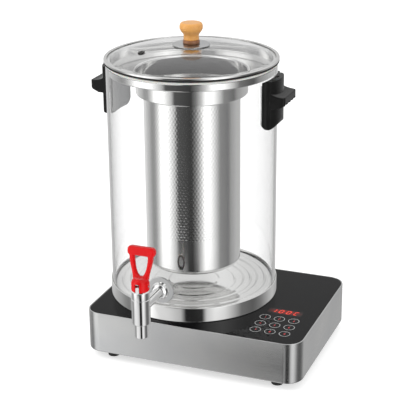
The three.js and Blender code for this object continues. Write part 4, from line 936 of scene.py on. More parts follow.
inlet = {
    "flangeWidth": 31,
    "flangeHeight": 25,
    "flangeThickness": 2.4,
    "sleeveWidth": 27,
    "sleeveHeight": 19.6,
    "corner": 2.5,
    "socketCorner": 4.5,    # the two upper corners of the socket are cut off
    "wall": 1.8,
    "pinWidth": 2,
    "pinHeight": 4,
    "pinLength": 13,
    "pinSpacing": 7,
    "pinRise": 2,
}


def makeInlet():
    low, high = boxOf("power_inlet")
    x, _, z = middleOf("power_inlet")
    back, front = high[1], low[1]
    flange = prism(roundedRect(inlet["flangeWidth"], inlet["flangeHeight"], inlet["corner"]), 0,
                   inlet["flangeThickness"], 0.6)
    sleeve = prism(roundedRect(inlet["sleeveWidth"], inlet["sleeveHeight"], inlet["corner"]),
                   -(back - front - inlet["flangeThickness"]), 0.2)
    halfWide = inlet["sleeveWidth"] / 2 - inlet["wall"]
    halfHigh = inlet["sleeveHeight"] / 2 - inlet["wall"]
    chamfer = inlet["socketCorner"]
    # drawn as seen once the outline is stood up: its second number then runs downwards
    socketOutline = filleted([
        (-halfWide, halfHigh, 1.2), (halfWide, halfHigh, 1.2), (halfWide, chamfer - halfHigh, 0.8),
        (halfWide - chamfer, -halfHigh, 0.8), (chamfer - halfWide, -halfHigh, 0.8),
        (-halfWide, chamfer - halfHigh, 0.8),
    ])
    floor = -(back - front - inlet["flangeThickness"]) + inlet["wall"]
    socket = prism(socketOutline, floor, inlet["flangeThickness"] + 2)
    body = cut(fused(flange, sleeve), socket)
    pins = []
    for side in (-1, 0, 1):
        rise = -inlet["pinRise"] if side == 0 else inlet["pinRise"]
        pin = prism(roundedRect(inlet["pinWidth"], inlet["pinHeight"], 0.6, 4), floor - 0.5,
                    floor + inlet["pinLength"], 0.4)
        pins.append(moved(pin, side * inlet["pinSpacing"], rise))
    place = (x, back - inlet["flangeThickness"], z)
    upright = [turned(piece, "X", -90) for piece in (body, together(*pins))]
    makePiece("mains_socket", upright[0], "base", "black_plastic", ["power_inlet"], place)
    makePiece("mains_pins", upright[1], "base", "screw_steel", (), place)


makeHobShell()
makeInlet()
print("hob shell and inlet made")

cooktopGlass = {
    "gap": 0.3,
    "bevel": 0.7,
}


def makeCooktop():
    low, high = boxOf("cooktop_glass")
    inset = hob["wall"] + cooktopGlass["gap"]
    bevel = cooktopGlass["bevel"]
    profile = [(inset + 0.3, low[2]), (inset, low[2] + 0.3)]
    for k in range(5):
        angle = math.pi / 2 * k / 4
        profile.append((inset + bevel * (1 - math.cos(angle)), high[2] - bevel + bevel * math.sin(angle)))
    plate = loft([hobLoop(i, z) for i, z in profile])
    makePiece("cooktop_plate", plate, "base", "black_glass", ["cooktop_glass"])


keys = {
    "rows": 3,
    "pitch": 22,
    "fromRight": 53.5,
    "fromFront": 54,
    "ringRadius": 8.1,
    "ringStroke": 0.75,
    "figureHeight": 4.6,
    "figureStroke": 0.75,
    "markLength": 2.2,
    "inkHeight": 0.05,
}
display = {
    "text": "100C",
    "digitPitch": 11.4,
    "digitWidth": 6.6,
    "digitHeight": 11.4,
    "stroke": 1.7,
    "slant": 0.2,      # sideways per unit of height
    "gap": 0.22,
    "haloHeight": 0.04,
    "digitHeightAbove": 0.08,
}
# bars lit for a figure: top, upper right, lower right, bottom, lower left, upper left, middle
segments = {
    "0": "abcdef", "1": "bc", "2": "abged", "3": "abgcd", "4": "fgbc", "5": "afgcd",
    "6": "afgedc", "7": "abc", "8": "abcdefg", "9": "gfabcd", "C": "afed",
}


def figureShape(character, width, height, stroke, slant, gap, level):
    # seven-bar figure lying in X and Y, its middle at zero
    x, y, half = width / 2 - stroke / 2, height / 2 - stroke / 2, stroke / 2
    ends = {
        "a": ((-x, y), (x, y)), "b": ((x, y), (x, 0)), "c": ((x, 0), (x, -y)), "d": ((-x, -y), (x, -y)),
        "e": ((-x, 0), (-x, -y)), "f": ((-x, y), (-x, 0)), "g": ((-x, 0), (x, 0)),
    }
    bars = []
    for letter in segments[character]:
        start, end = (Vector(p) for p in ends[letter])
        along = (end - start).normalized()
        side = Vector((-along.y, along.x)) * half
        start, end = start + along * gap, end - along * gap
        outline = [start, start + along * half - side, end - along * half - side, end,
                   end - along * half + side, start + along * half + side]
        bars.append(prism([(p.x + slant * p.y, p.y) for p in outline], level, level + 0.04))
    return together(*bars)


def makePrints():
    top = cooktop
    middleX = hobWidth / 2 - keys["fromRight"]
    middleY = keys["fromFront"] - hobDepth / 2
    ink = keys["inkHeight"]
    rings, marks, figures = [], [], []
    for row in range(keys["rows"]):
        for column in range(keys["rows"]):
            x = middleX + (column - 1) * keys["pitch"]
            y = middleY + (1 - row) * keys["pitch"]
            outer, inner = keys["ringRadius"], keys["ringRadius"] - keys["ringStroke"]
            ring = lathe([(inner, top), (outer, top), (outer, top + ink), (inner, top + ink)], 48)
            rings.append(moved(ring, x, y))
            dash = prism(roundedRect(keys["markLength"], 0.5, 0.2, 3), top, top + ink)
            marks.append(moved(dash, x, y + keys["ringRadius"] * 0.62))
            number = str(row * keys["rows"] + column + 1)
            figure = figureShape(number, keys["figureHeight"] * 0.55, keys["figureHeight"],
                                 keys["figureStroke"], 0.1, 0.05, top)
            figures.append(moved(figure, x, y - 0.4))
    low, high = boxOf("display_module")
    place = (*middleOf("display_module")[:2], top)
    digits = []
    for k, character in enumerate(display["text"]):
        digit = figureShape(character, display["digitWidth"], display["digitHeight"], display["stroke"],
                            display["slant"], display["gap"], display["digitHeightAbove"])
        digits.append(moved(digit, (k - 1.5) * display["digitPitch"]))
    window = prism(roundedRect(high[0] - low[0], high[1] - low[1], 3), 0.0, display["haloHeight"])
    prints = (
        ("key_rings", rings + marks, "black_glass", None, "ink"),
        ("key_figures", figures, "red_display", None, "litKeys"),
        ("display_digits", digits, "red_display", place, "litDigits"),
        ("display_window", [window], "red_display", place, "litWindow"),
    )
    for name, shapes, slot, where, look in prints:
        makePiece(name, together(*shapes), "base", slot, (), where, material=extra[look])


makeCooktop()
makePrints()

rubberFoot = {
    "topRadius": 8.2,
    "footRadius": 9,
    "round": 1.2,
    "headRadius": 4.1,
    "headDepth": 6,
    "screwRadius": 2.3,
}


def makeFeet():
    for k in range(1, 5):
        height = boxOf(f"foot_{k}")[1][2]
        shape = spun([
            (rubberFoot["screwRadius"], rubberFoot["headDepth"]),
            (rubberFoot["headRadius"], rubberFoot["headDepth"], 0.3),
            (rubberFoot["headRadius"], 0, 0.4),
            (rubberFoot["footRadius"], 0, rubberFoot["round"]),
            (rubberFoot["topRadius"], height, 0.5),
            (rubberFoot["screwRadius"], height),
        ], 5, 64)
        place = (*middleOf(f"foot_{k}")[:2], 0)
        makePiece(f"rubber_foot_{k}", shape, "base", "black_rubber", [f"foot_{k}"], place)


makeFeet()
print("cooktop, prints and feet made")


# vessel

pan = {
    "wall": 1.3,
    "bandGap": 0.5,          # outside the glass
    "bandBottom": 0.8,       # above the cooktop
    "bandTop": 22.3,
    "channel": 6,
    "shelf": 20,
    "shelfRadius": 119.4,
    "shoulder": 7,           # rounding of the shelf's edge
    "outerStep": 97,
    "innerStep": 76,
    "stepDrop": 2.6,
    "slope": 1.6,            # a pressed step leans out this much to each side
    "grooves": (109, 87, 63),
    "grooveWidth": 2.4,
    "grooveDepth": 1,
    "buttonRadius": 38,
    "buttonRise": 1,
    "soft": 2.6,             # rounding of the pressed steps
}


def makePan():
    wall, soft, slope, drop = pan["wall"], pan["soft"], pan["slope"], pan["stepDrop"]
    band = glassRadius + pan["bandGap"]
    shelf = cooktop + pan["shelf"]
    channel = cooktop + pan["channel"]
    shelfR = pan["shelfRadius"]
    floor = shelf - 2 * drop

    def groove(k, level):
        r, half = pan["grooves"][k], pan["grooveWidth"]
        return [(r + half, level, soft / 2), (r, level - pan["grooveDepth"], soft / 2),
                (r - half, level, soft / 2)]

    top = [(shelfR + wall, shelf, pan["shoulder"])]
    top += groove(0, shelf)
    top += [(pan["outerStep"] + slope, shelf, soft), (pan["outerStep"] - slope, shelf - drop, soft)]
    top += groove(1, shelf - drop)
    top += [(pan["innerStep"] + slope, shelf - drop, soft), (pan["innerStep"] - slope, floor, soft)]
    top += groove(2, floor)
    button = floor + pan["buttonRise"]
    edge = pan["buttonRadius"]
    top += [(edge + slope, floor, soft), (edge - slope, button, soft), (0, button)]
    under = [(max(r - 0.5, 0), z - wall, *soft) for r, z, *soft in top[:0:-1]]
    profile = filleted(under + [
        (shelfR - 3, shelf - wall, 4),
        (shelfR, shelf - 5, 2),
        (shelfR, channel - wall, 1),
        (band, channel - wall, 0.6),
        (band, cooktop + pan["bandBottom"], 0.5),
        (band + wall, cooktop + pan["bandBottom"], 1.1),
        (band + wall, cooktop + pan["bandTop"], 0.6),
        (band, cooktop + pan["bandTop"], 0.4),
        (band, channel, 0.4),
        (shelfR + wall, channel, 0.6),
    ] + top, 6, closed=False)
    makePiece("pressed_pan", lathe(profile, 256), "vessel", "polished_steel", ["base_pan"])
    low, high = boxOf("heat_plate")
    radius = radiusOf("heat_plate")
    disc = spun([
        (0, low[2]), (radius - 1.5, low[2], 0.6), (radius, low[2] + 1.5, 0.6),
        (radius, high[2], 0.3), (0, high[2]),
    ], 4, 192, closed=False)
    makePiece("heat_disc", disc, "vessel", "brushed_steel", ["heat_plate"])


def ringFrom(node, bore, round):
    # a plain ring with rounded edges, as high as its CAD node
    low, high = boxOf(node)
    radius = radiusOf(node)
    return spun([
        (bore, low[2], round), (radius, low[2], round), (radius, high[2], round), (bore, high[2], round),
    ], 4, 192)


glass = {
    "wall": 4,
    "fire": 1.1,          # fire-polished edge
    "tapHole": 8.5,
    "tapHoleAbove": 50,   # over the cooktop
    "screwHole": 2.5,
    "screwDrop": 26,      # below the glass's top edge
    "screwSpacing": 24,
    "gasketWidth": 3.7,
    "overrun": 15,        # how far a hole's tool reaches past the wall
}
clearance = 0.3           # play between parts that fit into each other
glassBore = glassRadius - glass["wall"]


def makeGlass():
    bore = glassBore
    tube = spun([
        (bore, glassLow[2], glass["fire"]),
        (glassRadius, glassLow[2], glass["fire"]),
        (glassRadius, glassHigh[2], glass["fire"]),
        (bore, glassHigh[2], glass["fire"]),
    ], 5, 288)
    past = glassRadius + glass["overrun"]
    tapHole = turned(rod(glass["tapHole"], 0, past, 48), "X", 90)
    holes = [moved(tapHole, 0, 0, cooktop + glass["tapHoleAbove"])]
    for side in (-1, 1):
        across = turned(rod(glass["screwHole"], -past, past, 24), "Y", 90)
        holes.append(moved(across, 0, side * glass["screwSpacing"] / 2, glassHigh[2] - glass["screwDrop"]))
    tube = cut(tube, together(*holes))
    makePiece("glass_wall", tube, "vessel", "clear_glass", ["glass_cylinder"], sharp=40)
    seal = ringFrom("lower_seal", bore + clearance, 0.4)
    makePiece("foot_seal", seal, "vessel", "grey_silicone", ["lower_seal"])
    gasket = ringFrom("top_gasket", glassRadius - glass["gasketWidth"], 1.0)
    makePiece("edge_gasket", gasket, "vessel", "grey_silicone", ["top_gasket"])


collar = {
    "wall": 0.9,
    "flange": 4.8,
    "floorDrop": 5,
    "holeRadius": 83,
    "bead": 1.5,
}


def makeCollar():
    low, high = boxOf("top_collar")
    wall = collar["wall"]
    skirt = glassBore - clearance
    inside = skirt - wall
    gasketTop = high[2] - wall
    skirtFoot = low[2] + collar["floorDrop"]
    profile = filleted([
        (collar["holeRadius"], low[2], 0.3),
        (skirt - 3, skirtFoot - 0.6, 1),
        (skirt, skirtFoot, collar["bead"]),
        (skirt, gasketTop, 0.3),
        (inside + collar["flange"], gasketTop, 0.3),
        (inside + collar["flange"], high[2], 0.4),
        (inside, high[2], 1),
        (inside, skirtFoot + wall, collar["bead"]),
        (collar["holeRadius"], low[2] + wall, 0.3),
    ], 5)
    makePiece("inner_collar", lathe(profile, 256), "vessel", "polished_steel", ["top_collar"])


makePan()
makeGlass()
makeCollar()
print("pan, glass and collar made")


# handles, drawn on the +X side round the vessel's axis

handle = {
    "flangeAngle": 16.5,
    "flangeThickness": 3.2,
    "flangeCorner": 12,
    "columnHalfWidth": 28,
    "columnDepth": 13,
    "columnSideDepth": 5,
    "columnTurn": 0.62,      # where the front of the column starts to turn, as a share of its half width
    "columnFoot": 12.5,
    "gripReach": 26,
    "gripTopDrop": 13,       # the handle's top down to where the scoop leaves the glass
    "gripTipTop": 22,
    "gripTipBottom": 34,
    "gripRoot": 40,
    "gripCorner": 5,
    "scoopTurn": 0.28,       # share of the reach in which the scoop levels out
    "fingers": 4,
    "fingerPitch": 12.5,
    "fingerRadius": 4.4,
    "fingerDepth": 2.8,
    "fingerLength": 60,
    "glassGap": 0.35,
    "overlap": 4,            # how far the blanks reach into the glass before they are cut to it
    "recessWidth": 16,
    "recessLength": 4,
    "recessDepth": 2,
    "recessOut": 4.8,
    "voxel": 0.62,
    "smoothing": 4,
}


def quadraticPoints(a, b, c, steps=10):
    a, b, c = (Vector(p) for p in (a, b, c))
    shares = [k / steps for k in range(steps + 1)]
    return [tuple((1 - t) ** 2 * a + 2 * (1 - t) * t * b + t * t * c) for t in shares]


def tongueShape(halfWidth, bottom, top, corner, reach):
    # a plate in Y and Z with round lower corners, drawn out along +X
    outline = [(-halfWidth, top)]
    outline += arcPoints(corner - halfWidth, bottom + corner, corner, 180, 270)
    outline += arcPoints(halfWidth - corner, bottom + corner, corner, 270, 360)
    outline += [(halfWidth, top)]
    return turned(turned(prism(outline, 0, reach), "X", 90), "Z", 90)


def sideShape(outline, halfWidth):
    # an outline in X and Z, drawn through from side to side
    return turned(prism(outline, -halfWidth, halfWidth), "X", 90)


def handleShape():
    low, high = boxOf("handle_right")
    foot, top = low[2], high[2]
    h = handle
    inside, outer = glassRadius - h["overlap"], glassRadius + h["flangeThickness"]
    face = glassRadius + h["columnDepth"]
    tip = glassRadius + h["gripReach"]
    half = h["columnHalfWidth"]
    halfFlange = outer * math.sin(math.radians(h["flangeAngle"]))
    flange = shared(
        tongueShape(halfFlange, foot, top, h["flangeCorner"], outer + 5),
        lathe([(inside, foot - 1), (outer, foot - 1), (outer, top), (inside, top)], 200),
    )
    sideX = glassRadius + h["columnSideDepth"]
    back = glassRadius - 2 * h["overlap"]
    turn = half * h["columnTurn"]
    plan = [(back, -half)]
    plan += quadraticPoints((sideX, -half), (face, -turn), (face, 0))
    plan += quadraticPoints((face, 0), (face, turn), (sideX, half))[1:]
    plan += [(back, half)]
    bend = h["columnFoot"]
    side = [(0, top), (0, foot), *arcPoints(face - bend, foot + bend, bend, -90, 0), (face, top)]
    column = shared(prism(plan, foot - 1, top), sideShape(side, half + 2))
    scoop = quadraticPoints(
        (glassRadius, top - h["gripTopDrop"]),
        (glassRadius + h["scoopTurn"] * h["gripReach"], top - h["gripTipTop"]),
        (tip, top - h["gripTipTop"]),
        16,
    )
    gripSide = [*scoop, (tip, top - h["gripTipBottom"]), (face, top - h["gripRoot"]),
                (glassRadius, top - h["gripRoot"])]
    plan = roundedRect(2 * h["gripReach"], 2 * half, h["gripCorner"])
    gripPlan = moved(prism(plan, top - h["gripRoot"] - 1, top), glassRadius)
    grip = shared(sideShape(gripSide, half + 2), gripPlan)
    run = tip - face
    slope = math.degrees(math.atan2(h["gripRoot"] - h["gripTipBottom"], run))
    groove = turned(rod(h["fingerRadius"], 0, h["fingerLength"], 40), "Y", 90 - slope)
    level = top - h["gripRoot"] - h["fingerRadius"] + h["fingerDepth"]
    grooves = [moved(groove, face + 0.3, (k - (h["fingers"] - 1) / 2) * h["fingerPitch"], level)
               for k in range(h["fingers"])]
    for tool in grooves:
        grip = cut(grip, tool)
    whole = fused(flange, column, grip)
    plan = roundedRect(h["recessLength"], h["recessWidth"], h["recessLength"] / 2)
    recess = moved(prism(plan, top - h["recessDepth"], top + 2), glassRadius + h["recessOut"])
    whole = cut(whole, rod(glassRadius + h["glassGap"], foot - 3, top + 3, 288), recess)
    return moulded(whole, h["voxel"], h["smoothing"])


plate = {
    "thickness": 1.5,
    "halfAngle": 15.5,
    "corner": 12,
}
plateScrew = {
    "head": 4,
    "headHeight": 2.4,
    "shank": 2,
    "recess": 1.1,     # half width of the cross
    "recessDepth": 1.4,
    "recessReach": 2.5,
    "reach": 8,        # how far the shank goes past the glass, into the handle
}


def plateShape():
    # rows of a thin curved sheet; the lower rows grow shorter to round its corners
    low, high = boxOf("handle_plate_right")
    bottom, top = low[2], high[2]
    outer = glassBore - clearance
    half = outer * math.sin(math.radians(plate["halfAngle"]))
    corner = plate["corner"]
    heights = [bottom + corner * (1 - math.cos(math.pi / 2 * k / 10)) for k in range(11)]
    heights += [bottom + corner + (top - bottom - corner) * k / 8 for k in range(1, 9)]
    columns = 40
    skins = []
    for radius in (outer, outer - plate["thickness"]):
        skin = []
        for z in heights:
            drop = max(0.0, corner - (z - bottom))
            width = half - corner + math.sqrt(max(0.0, corner ** 2 - drop ** 2))
            row = []
            for k in range(columns + 1):
                y = width * (2 * k / columns - 1)
                angle = math.asin(y / outer)
                row.append((radius * math.cos(angle), radius * math.sin(angle), z))
            skin.append(row)
        skins.append(skin)
    loops = []
    for front, back in zip(*skins):
        loops.append(front + back[::-1])
    return worked(loft(loops), ("BEVEL", {"width": 0.35, "segments": 2, "limit_method": "ANGLE",
                                          "angle_limit": math.radians(40)}))


def screwShape(length, size):
    # pan head with a cross recess, pointing along +Z from under the head
    head, height = size["head"], size["headHeight"]
    body = spun([
        (0, -height), (head * 0.62, -height, 2), (head, -height * 0.35, 0.8), (head, 0, 0.3),
        (size["shank"], 0), (size["shank"], length - 1), (size["shank"] - 0.8, length), (0, length),
    ], 4, 40, closed=False)
    arms = []
    plan = roundedRect(2 * size["recessReach"], size["recess"], 0.2, 2)
    for degrees in (0, 90):
        arms.append(turned(prism(plan, -height - 1, size["recessDepth"] - height), "Z", degrees))
    return cut(body, *arms)


def makeHandles():
    shape = handleShape()
    sheet = plateShape()
    outer = glassBore - clearance
    aside = glass["screwSpacing"] / 2 + plateScrew["head"]
    seat = math.sqrt((outer - plate["thickness"]) ** 2 - aside ** 2) - clearance
    length = glassRadius + plateScrew["reach"] - seat
    screw = turned(screwShape(length, plateScrew), "Y", 90)
    for name, degrees in (("right", 0), ("left", 180)):
        makePiece(f"handle_{name}_moulding", turned(shape, "Z", degrees), "vessel", "black_plastic",
                  [f"handle_{name}"], sharp=60)
        makePiece(f"backing_plate_{name}", turned(sheet, "Z", degrees), "vessel", "brushed_steel",
                  [f"handle_plate_{name}"])
        for k, side in ((1, -1), (2, 1)):
            placed = moved(screw, seat, side * glass["screwSpacing"] / 2, glassHigh[2] - glass["screwDrop"])
            makePiece(f"plate_screw_{name}_{k}", turned(placed, "Z", degrees), "vessel", "screw_steel",
                      [f"handle_screw_{name}_{k}"])


makeHandles()
print("handles made")


# basket

basket = {
    "radius": 71.1,
    "wall": 1.0,
    "bottomRound": 8,
    "flangeWidth": 9,
    "dimplePitch": 5,
    "dimpleRadius": 1.7,
    "dimpleDepth": 0.13,
    "dimpleFoot": 56,      # above the basket's underside
    "dimpleTop": 11,       # below its rim
    "samples": 5,          # mesh columns for each dimple
    "collarRadius": 82.2,
    "bead": 2.1,
}


def dimpleDepthAt(angle, height, foot, count, rowPitch):
    # depth pressed in at a place of the wall; every other row is shifted by half a pitch
    row = round((height - foot) / rowPitch)
    shift = 0.5 * (row % 2)
    across = angle / (2 * math.pi) * count - shift
    aside = (across - round(across)) * 2 * math.pi * basket["radius"] / count
    away = math.hypot(aside, height - foot - row * rowPitch) / basket["dimpleRadius"]
    return basket["dimpleDepth"] * 0.5 * (1 + math.cos(math.pi * away)) if away < 1 else 0.0


def makeBasketTub():
    bottom, top = boxOf("basket_floor")[0][2], boxOf("basket_body")[1][2]
    radius, wall = basket["radius"], basket["wall"]
    count = round(2 * math.pi * radius / basket["dimplePitch"])
    steps = count * basket["samples"]
    rowPitch = basket["dimplePitch"] * math.sqrt(3) / 2
    foot, lastRow = bottom + basket["dimpleFoot"], top - basket["dimpleTop"]
    rowCount = int((lastRow - foot) / rowPitch)
    bend = basket["bottomRound"]
    profile = [(0, bottom)]
    profile += arcPoints(radius - bend, bottom + bend, bend, -90, 0, 10)
    profile += [(radius, foot - rowPitch / 2)]
    firstDimple = len(profile)
    each = 4
    profile += [(radius, foot + rowPitch * (k / each - 0.5)) for k in range(1, each * (rowCount + 1))]
    endDimple = len(profile)
    profile += filleted([
        (radius, foot + rowPitch * (rowCount + 0.5)),
        (radius, top - wall, 0.8),
        (radius + basket["flangeWidth"], top - wall, 0.4),
        (radius + basket["flangeWidth"], top, 0.4),
        (radius - wall, top, 1.2),
        (radius - wall, bottom + bend),
    ], 4, closed=False)
    profile += arcPoints(radius - bend, bottom + bend, bend - wall, 0, -90, 8)[1:]
    profile += [(0, bottom + wall)]
    vertices, faces = lathe(profile, steps)
    start = 1  # the pole of the underside is one vertex
    for index in range(firstDimple, endDimple):
        height = profile[index][1]
        for k in range(steps):
            depth = dimpleDepthAt(2 * math.pi * k / steps, height, foot, count, rowPitch)
            if depth:
                number = start + (index - 1) * steps + k
                share = (radius - depth) / radius
                x, y, z = vertices[number]
                vertices[number] = (x * share, y * share, z)
    makePiece("basket_tub", (vertices, faces), "basket", "polished_steel",
              ["basket_body", "basket_floor"], sharp=50, material=extra["satin"])


def makeBasketRing():
    low, high = boxOf("basket_collar")
    rimRadius = basket["collarRadius"] + basket["bead"]
    rimLevel = high[2] - basket["bead"]
    inner, wall, bottom = basket["radius"] + 0.3, basket["wall"], low[2]
    turn = arcPoints(rimRadius - wall / 2, rimLevel, basket["bead"], 180, -90, 14)
    outer = basket["collarRadius"]
    profile = filleted([(inner, bottom), (outer, bottom, 1.6), (outer, rimLevel - 2.6)], 5, closed=False)
    profile += turn[::-1]
    profile += filleted([
        (outer - wall, rimLevel - 0.4), (outer - wall, bottom + wall, 1), (inner, bottom + wall),
    ], 5, closed=False)
    makePiece("basket_ring", lathe(profile, 224), "basket", "polished_steel", ["basket_collar"])


makeBasketTub()
makeBasketRing()
print("basket made")


# lid

lid = {
    "rimWall": 1,
    "sealHeight": 2.8,       # black seal let into the foot of the steel band
    "sealDepth": 0.5,
    "lip": 5,
    "glassThickness": 3,
    "flatWidth": 5.4,
    "bore": 2.8,             # for the knob's screw
    "locatorDrop": 5,
    "locatorWall": 1.2,
}
eyelet = {
    "place": (-59, -45.6),
    "flange": 5.4,
    "shank": 3.3,
    "bore": 2.2,
    "thickness": 1,
    "gap": 0.3,
}


def domeLevels():
    low, high = boxOf("lid_glass")
    radius = radiusOf("lid_glass")
    flat = radius - lid["flatWidth"]
    top = high[2]
    under = low[2]
    rise = top - under - lid["glassThickness"]
    curve = (flat ** 2 + rise ** 2) / (2 * rise)
    return radius, flat, under, top, curve


def domeHeight(r, sink=0.0):
    radius, flat, under, top, curve = domeLevels()
    return top - curve + math.sqrt((curve - sink) ** 2 - r * r)


def ventFrame(shape):
    x, y = eyelet["place"]
    out = math.hypot(x, y)
    tilt = math.degrees(math.asin(out / domeLevels()[4]))
    heading = math.degrees(math.atan2(y, x))
    return moved(turned(turned(shape, "Y", tilt), "Z", heading), x, y, domeHeight(out))


def makeLid():
    radius = radiusOf("lid_rim")
    wall = lid["rimWall"]
    top = boxOf("lid_rim")[1][2]
    collarTop = boxOf("top_collar")[1][2]
    inside = radius - wall
    locator = glassBore - clearance - collar["wall"] - 2 * clearance
    seal = collarTop + lid["sealHeight"]
    notch = radius - lid["sealDepth"]
    web = collarTop + wall
    band = filleted([
        (locator - lid["locatorWall"], collarTop - lid["locatorDrop"], 0.4),
        (locator, collarTop - lid["locatorDrop"], 0.4),
        (locator, collarTop, 0.4),
        (notch, collarTop, 0.2),
        (notch, seal, 0.1),
        (radius, seal, 0.4),
        (radius, top, 1.8),
        (radius - lid["lip"], top, 0.6),
        (radius - lid["lip"], top - wall, 0.4),
        (inside, top - wall, 1.0),
        (inside, web, 0.3),
        (locator - lid["locatorWall"], web, 0.4),
    ], 6)
    makePiece("rim_band", lathe(band, 256), "lid", "polished_steel", ["lid_rim"])
    lip = filleted([
        (notch - 0.1, collarTop, 0.1), (radius - 0.1, collarTop, 0.3), (radius - 0.1, seal - 0.05, 0.2),
        (notch - 0.1, seal - 0.05, 0.1),
    ], 3)
    makePiece("rim_seal", lathe(lip, 256), "lid", "black_rubber")

    radius, flat, under, dome, curve = domeLevels()
    count = 30
    radii = [flat * k / count for k in range(count + 1)]
    profile = [(r, max(under, domeHeight(r, lid["glassThickness"]))) for r in radii]
    profile += filleted([
        (radius - 1, under), (radius, under, 0.8), (radius, under + lid["glassThickness"], 0.8),
        (radius - 1, under + lid["glassThickness"]),
    ], 4, closed=False)
    profile += [(r, domeHeight(r)) for r in radii[::-1]]
    pane = lathe(profile, 256)
    hole = ventFrame(rod(eyelet["shank"] + clearance, -5, 2, 40))
    pane = cut(pane, rod(lid["bore"], under, dome + 2, 32), hole)
    makePiece("dome_glass", pane, "lid", "clear_glass", ["lid_glass"], sharp=40)

    foot, gap = -lid["glassThickness"] - eyelet["gap"], eyelet["gap"]
    bore, flange, shank, thick = (eyelet[key] for key in ("bore", "flange", "shank", "thickness"))
    rivet = spun([
        (bore, foot - thick, 0.3), (flange, foot - thick, 0.4), (flange, foot, 0.3), (shank, foot),
        (shank, gap), (flange, gap, 0.3), (flange, gap + thick, 0.7), (bore, gap + thick, 0.4),
    ], 4, 48)
    makePiece("steam_eyelet", ventFrame(rivet), "lid", "polished_steel", ["vent_eyelet"],
              material=extra["darkZincAndShade"])


knob = {
    "discDish": 0.7,
    "ringRadius": 12.5,
    "neckRadius": 11.2,
    "neckHeight": 6.5,
    "radius": 17,
    "bulge": 11.5,
    "topRadius": 13.8,
    "bore": 2.5,
    "boreDepth": 15.3,
}


def makeKnob():
    low, high = boxOf("knob_disc")
    radius = radiusOf("knob_disc")
    edge = low[2]
    disc = spun([
        (knob["bore"], edge + knob["discDish"]), (knob["ringRadius"], edge + knob["discDish"], 2),
        (radius, edge, 0.3), (radius, edge + 0.9, 0.4), (radius - 1, edge + 1.4, 0.4),
        (knob["ringRadius"], high[2], 2), (knob["bore"], high[2]),
    ], 4, 128)
    makePiece("knob_plate", disc, "lid", "polished_steel", ["knob_disc"],
              material=finish["brushed_steel"])
    low, high = boxOf("knob_ring")
    foot, top = low[2], high[2]
    half = (foot + top) / 2
    ringProfile = filleted([
        (knob["bore"], foot), (knob["ringRadius"] - 0.4, foot, 1.2), (knob["ringRadius"], half, 2),
        (knob["ringRadius"] - 0.9, top, 1.2), (knob["bore"], top),
    ], 5)
    makePiece("knob_foot", lathe(ringProfile, 128), "lid", "red_brown_plastic", ["knob_ring"])
    low, high = boxOf("lid_knob")
    foot, top = low[2], high[2]
    neckTop = foot + knob["neckHeight"]
    widest = neckTop + knob["bulge"]
    boreTop = foot + knob["boreDepth"]
    profile = [(0, boreTop), (knob["bore"], boreTop), (knob["bore"], foot)]
    profile += [(knob["neckRadius"] - 0.5, foot), (knob["neckRadius"] + 0.1, foot + 0.8)]
    profile += bezierPoints(
        (knob["neckRadius"] - 0.1, neckTop - 1), (knob["neckRadius"] - 0.2, neckTop + 3.2),
        (knob["radius"], widest - 5.2), (knob["radius"], widest), 16,
    )
    profile += bezierPoints(
        (knob["radius"], widest), (knob["radius"], widest + 3.4), (knob["topRadius"] + 2.4, top),
        (knob["topRadius"] - 1, top), 12,
    )[1:]
    profile.append((0, top))
    makePiece("wooden_knob", lathe(profile, 128), "lid", "wood", ["lid_knob"])


makeLid()
makeKnob()
print("lid and knob made")


# tap, drawn round its own upright axis with heights from the floor

tap = {
    "barrelRadius": 13.2,
    "barrelBelow": 20.5,
    "barrelAbove": 17,
    "nozzleRadius": 9.8,
    "nozzleLength": 21,
    "stemRadius": 7.25,
    "collarRadius": 13,
    "collarLength": 10,
    "shankRadius": 8,
    "nozzleBore": 6.2,
    "boreDepth": 14,
    "washerRadius": 20.5,
    "washerThickness": 2.4,
    "sealThickness": 2.6,
    "sealRadius": 17.5,
    "sealGap": 0.15,
    "shankHole": 8.5,
    "nutRadius": 14,
    "nutBore": 8.3,
    "nutFace": 12.9,         # radius of its flat faces inside the chamfer
    "nutConeRadius": 15.4,
    "nutChamfer": 1.4,
    "bonnetRadius": 13,
    "rodHole": 2.9,
}


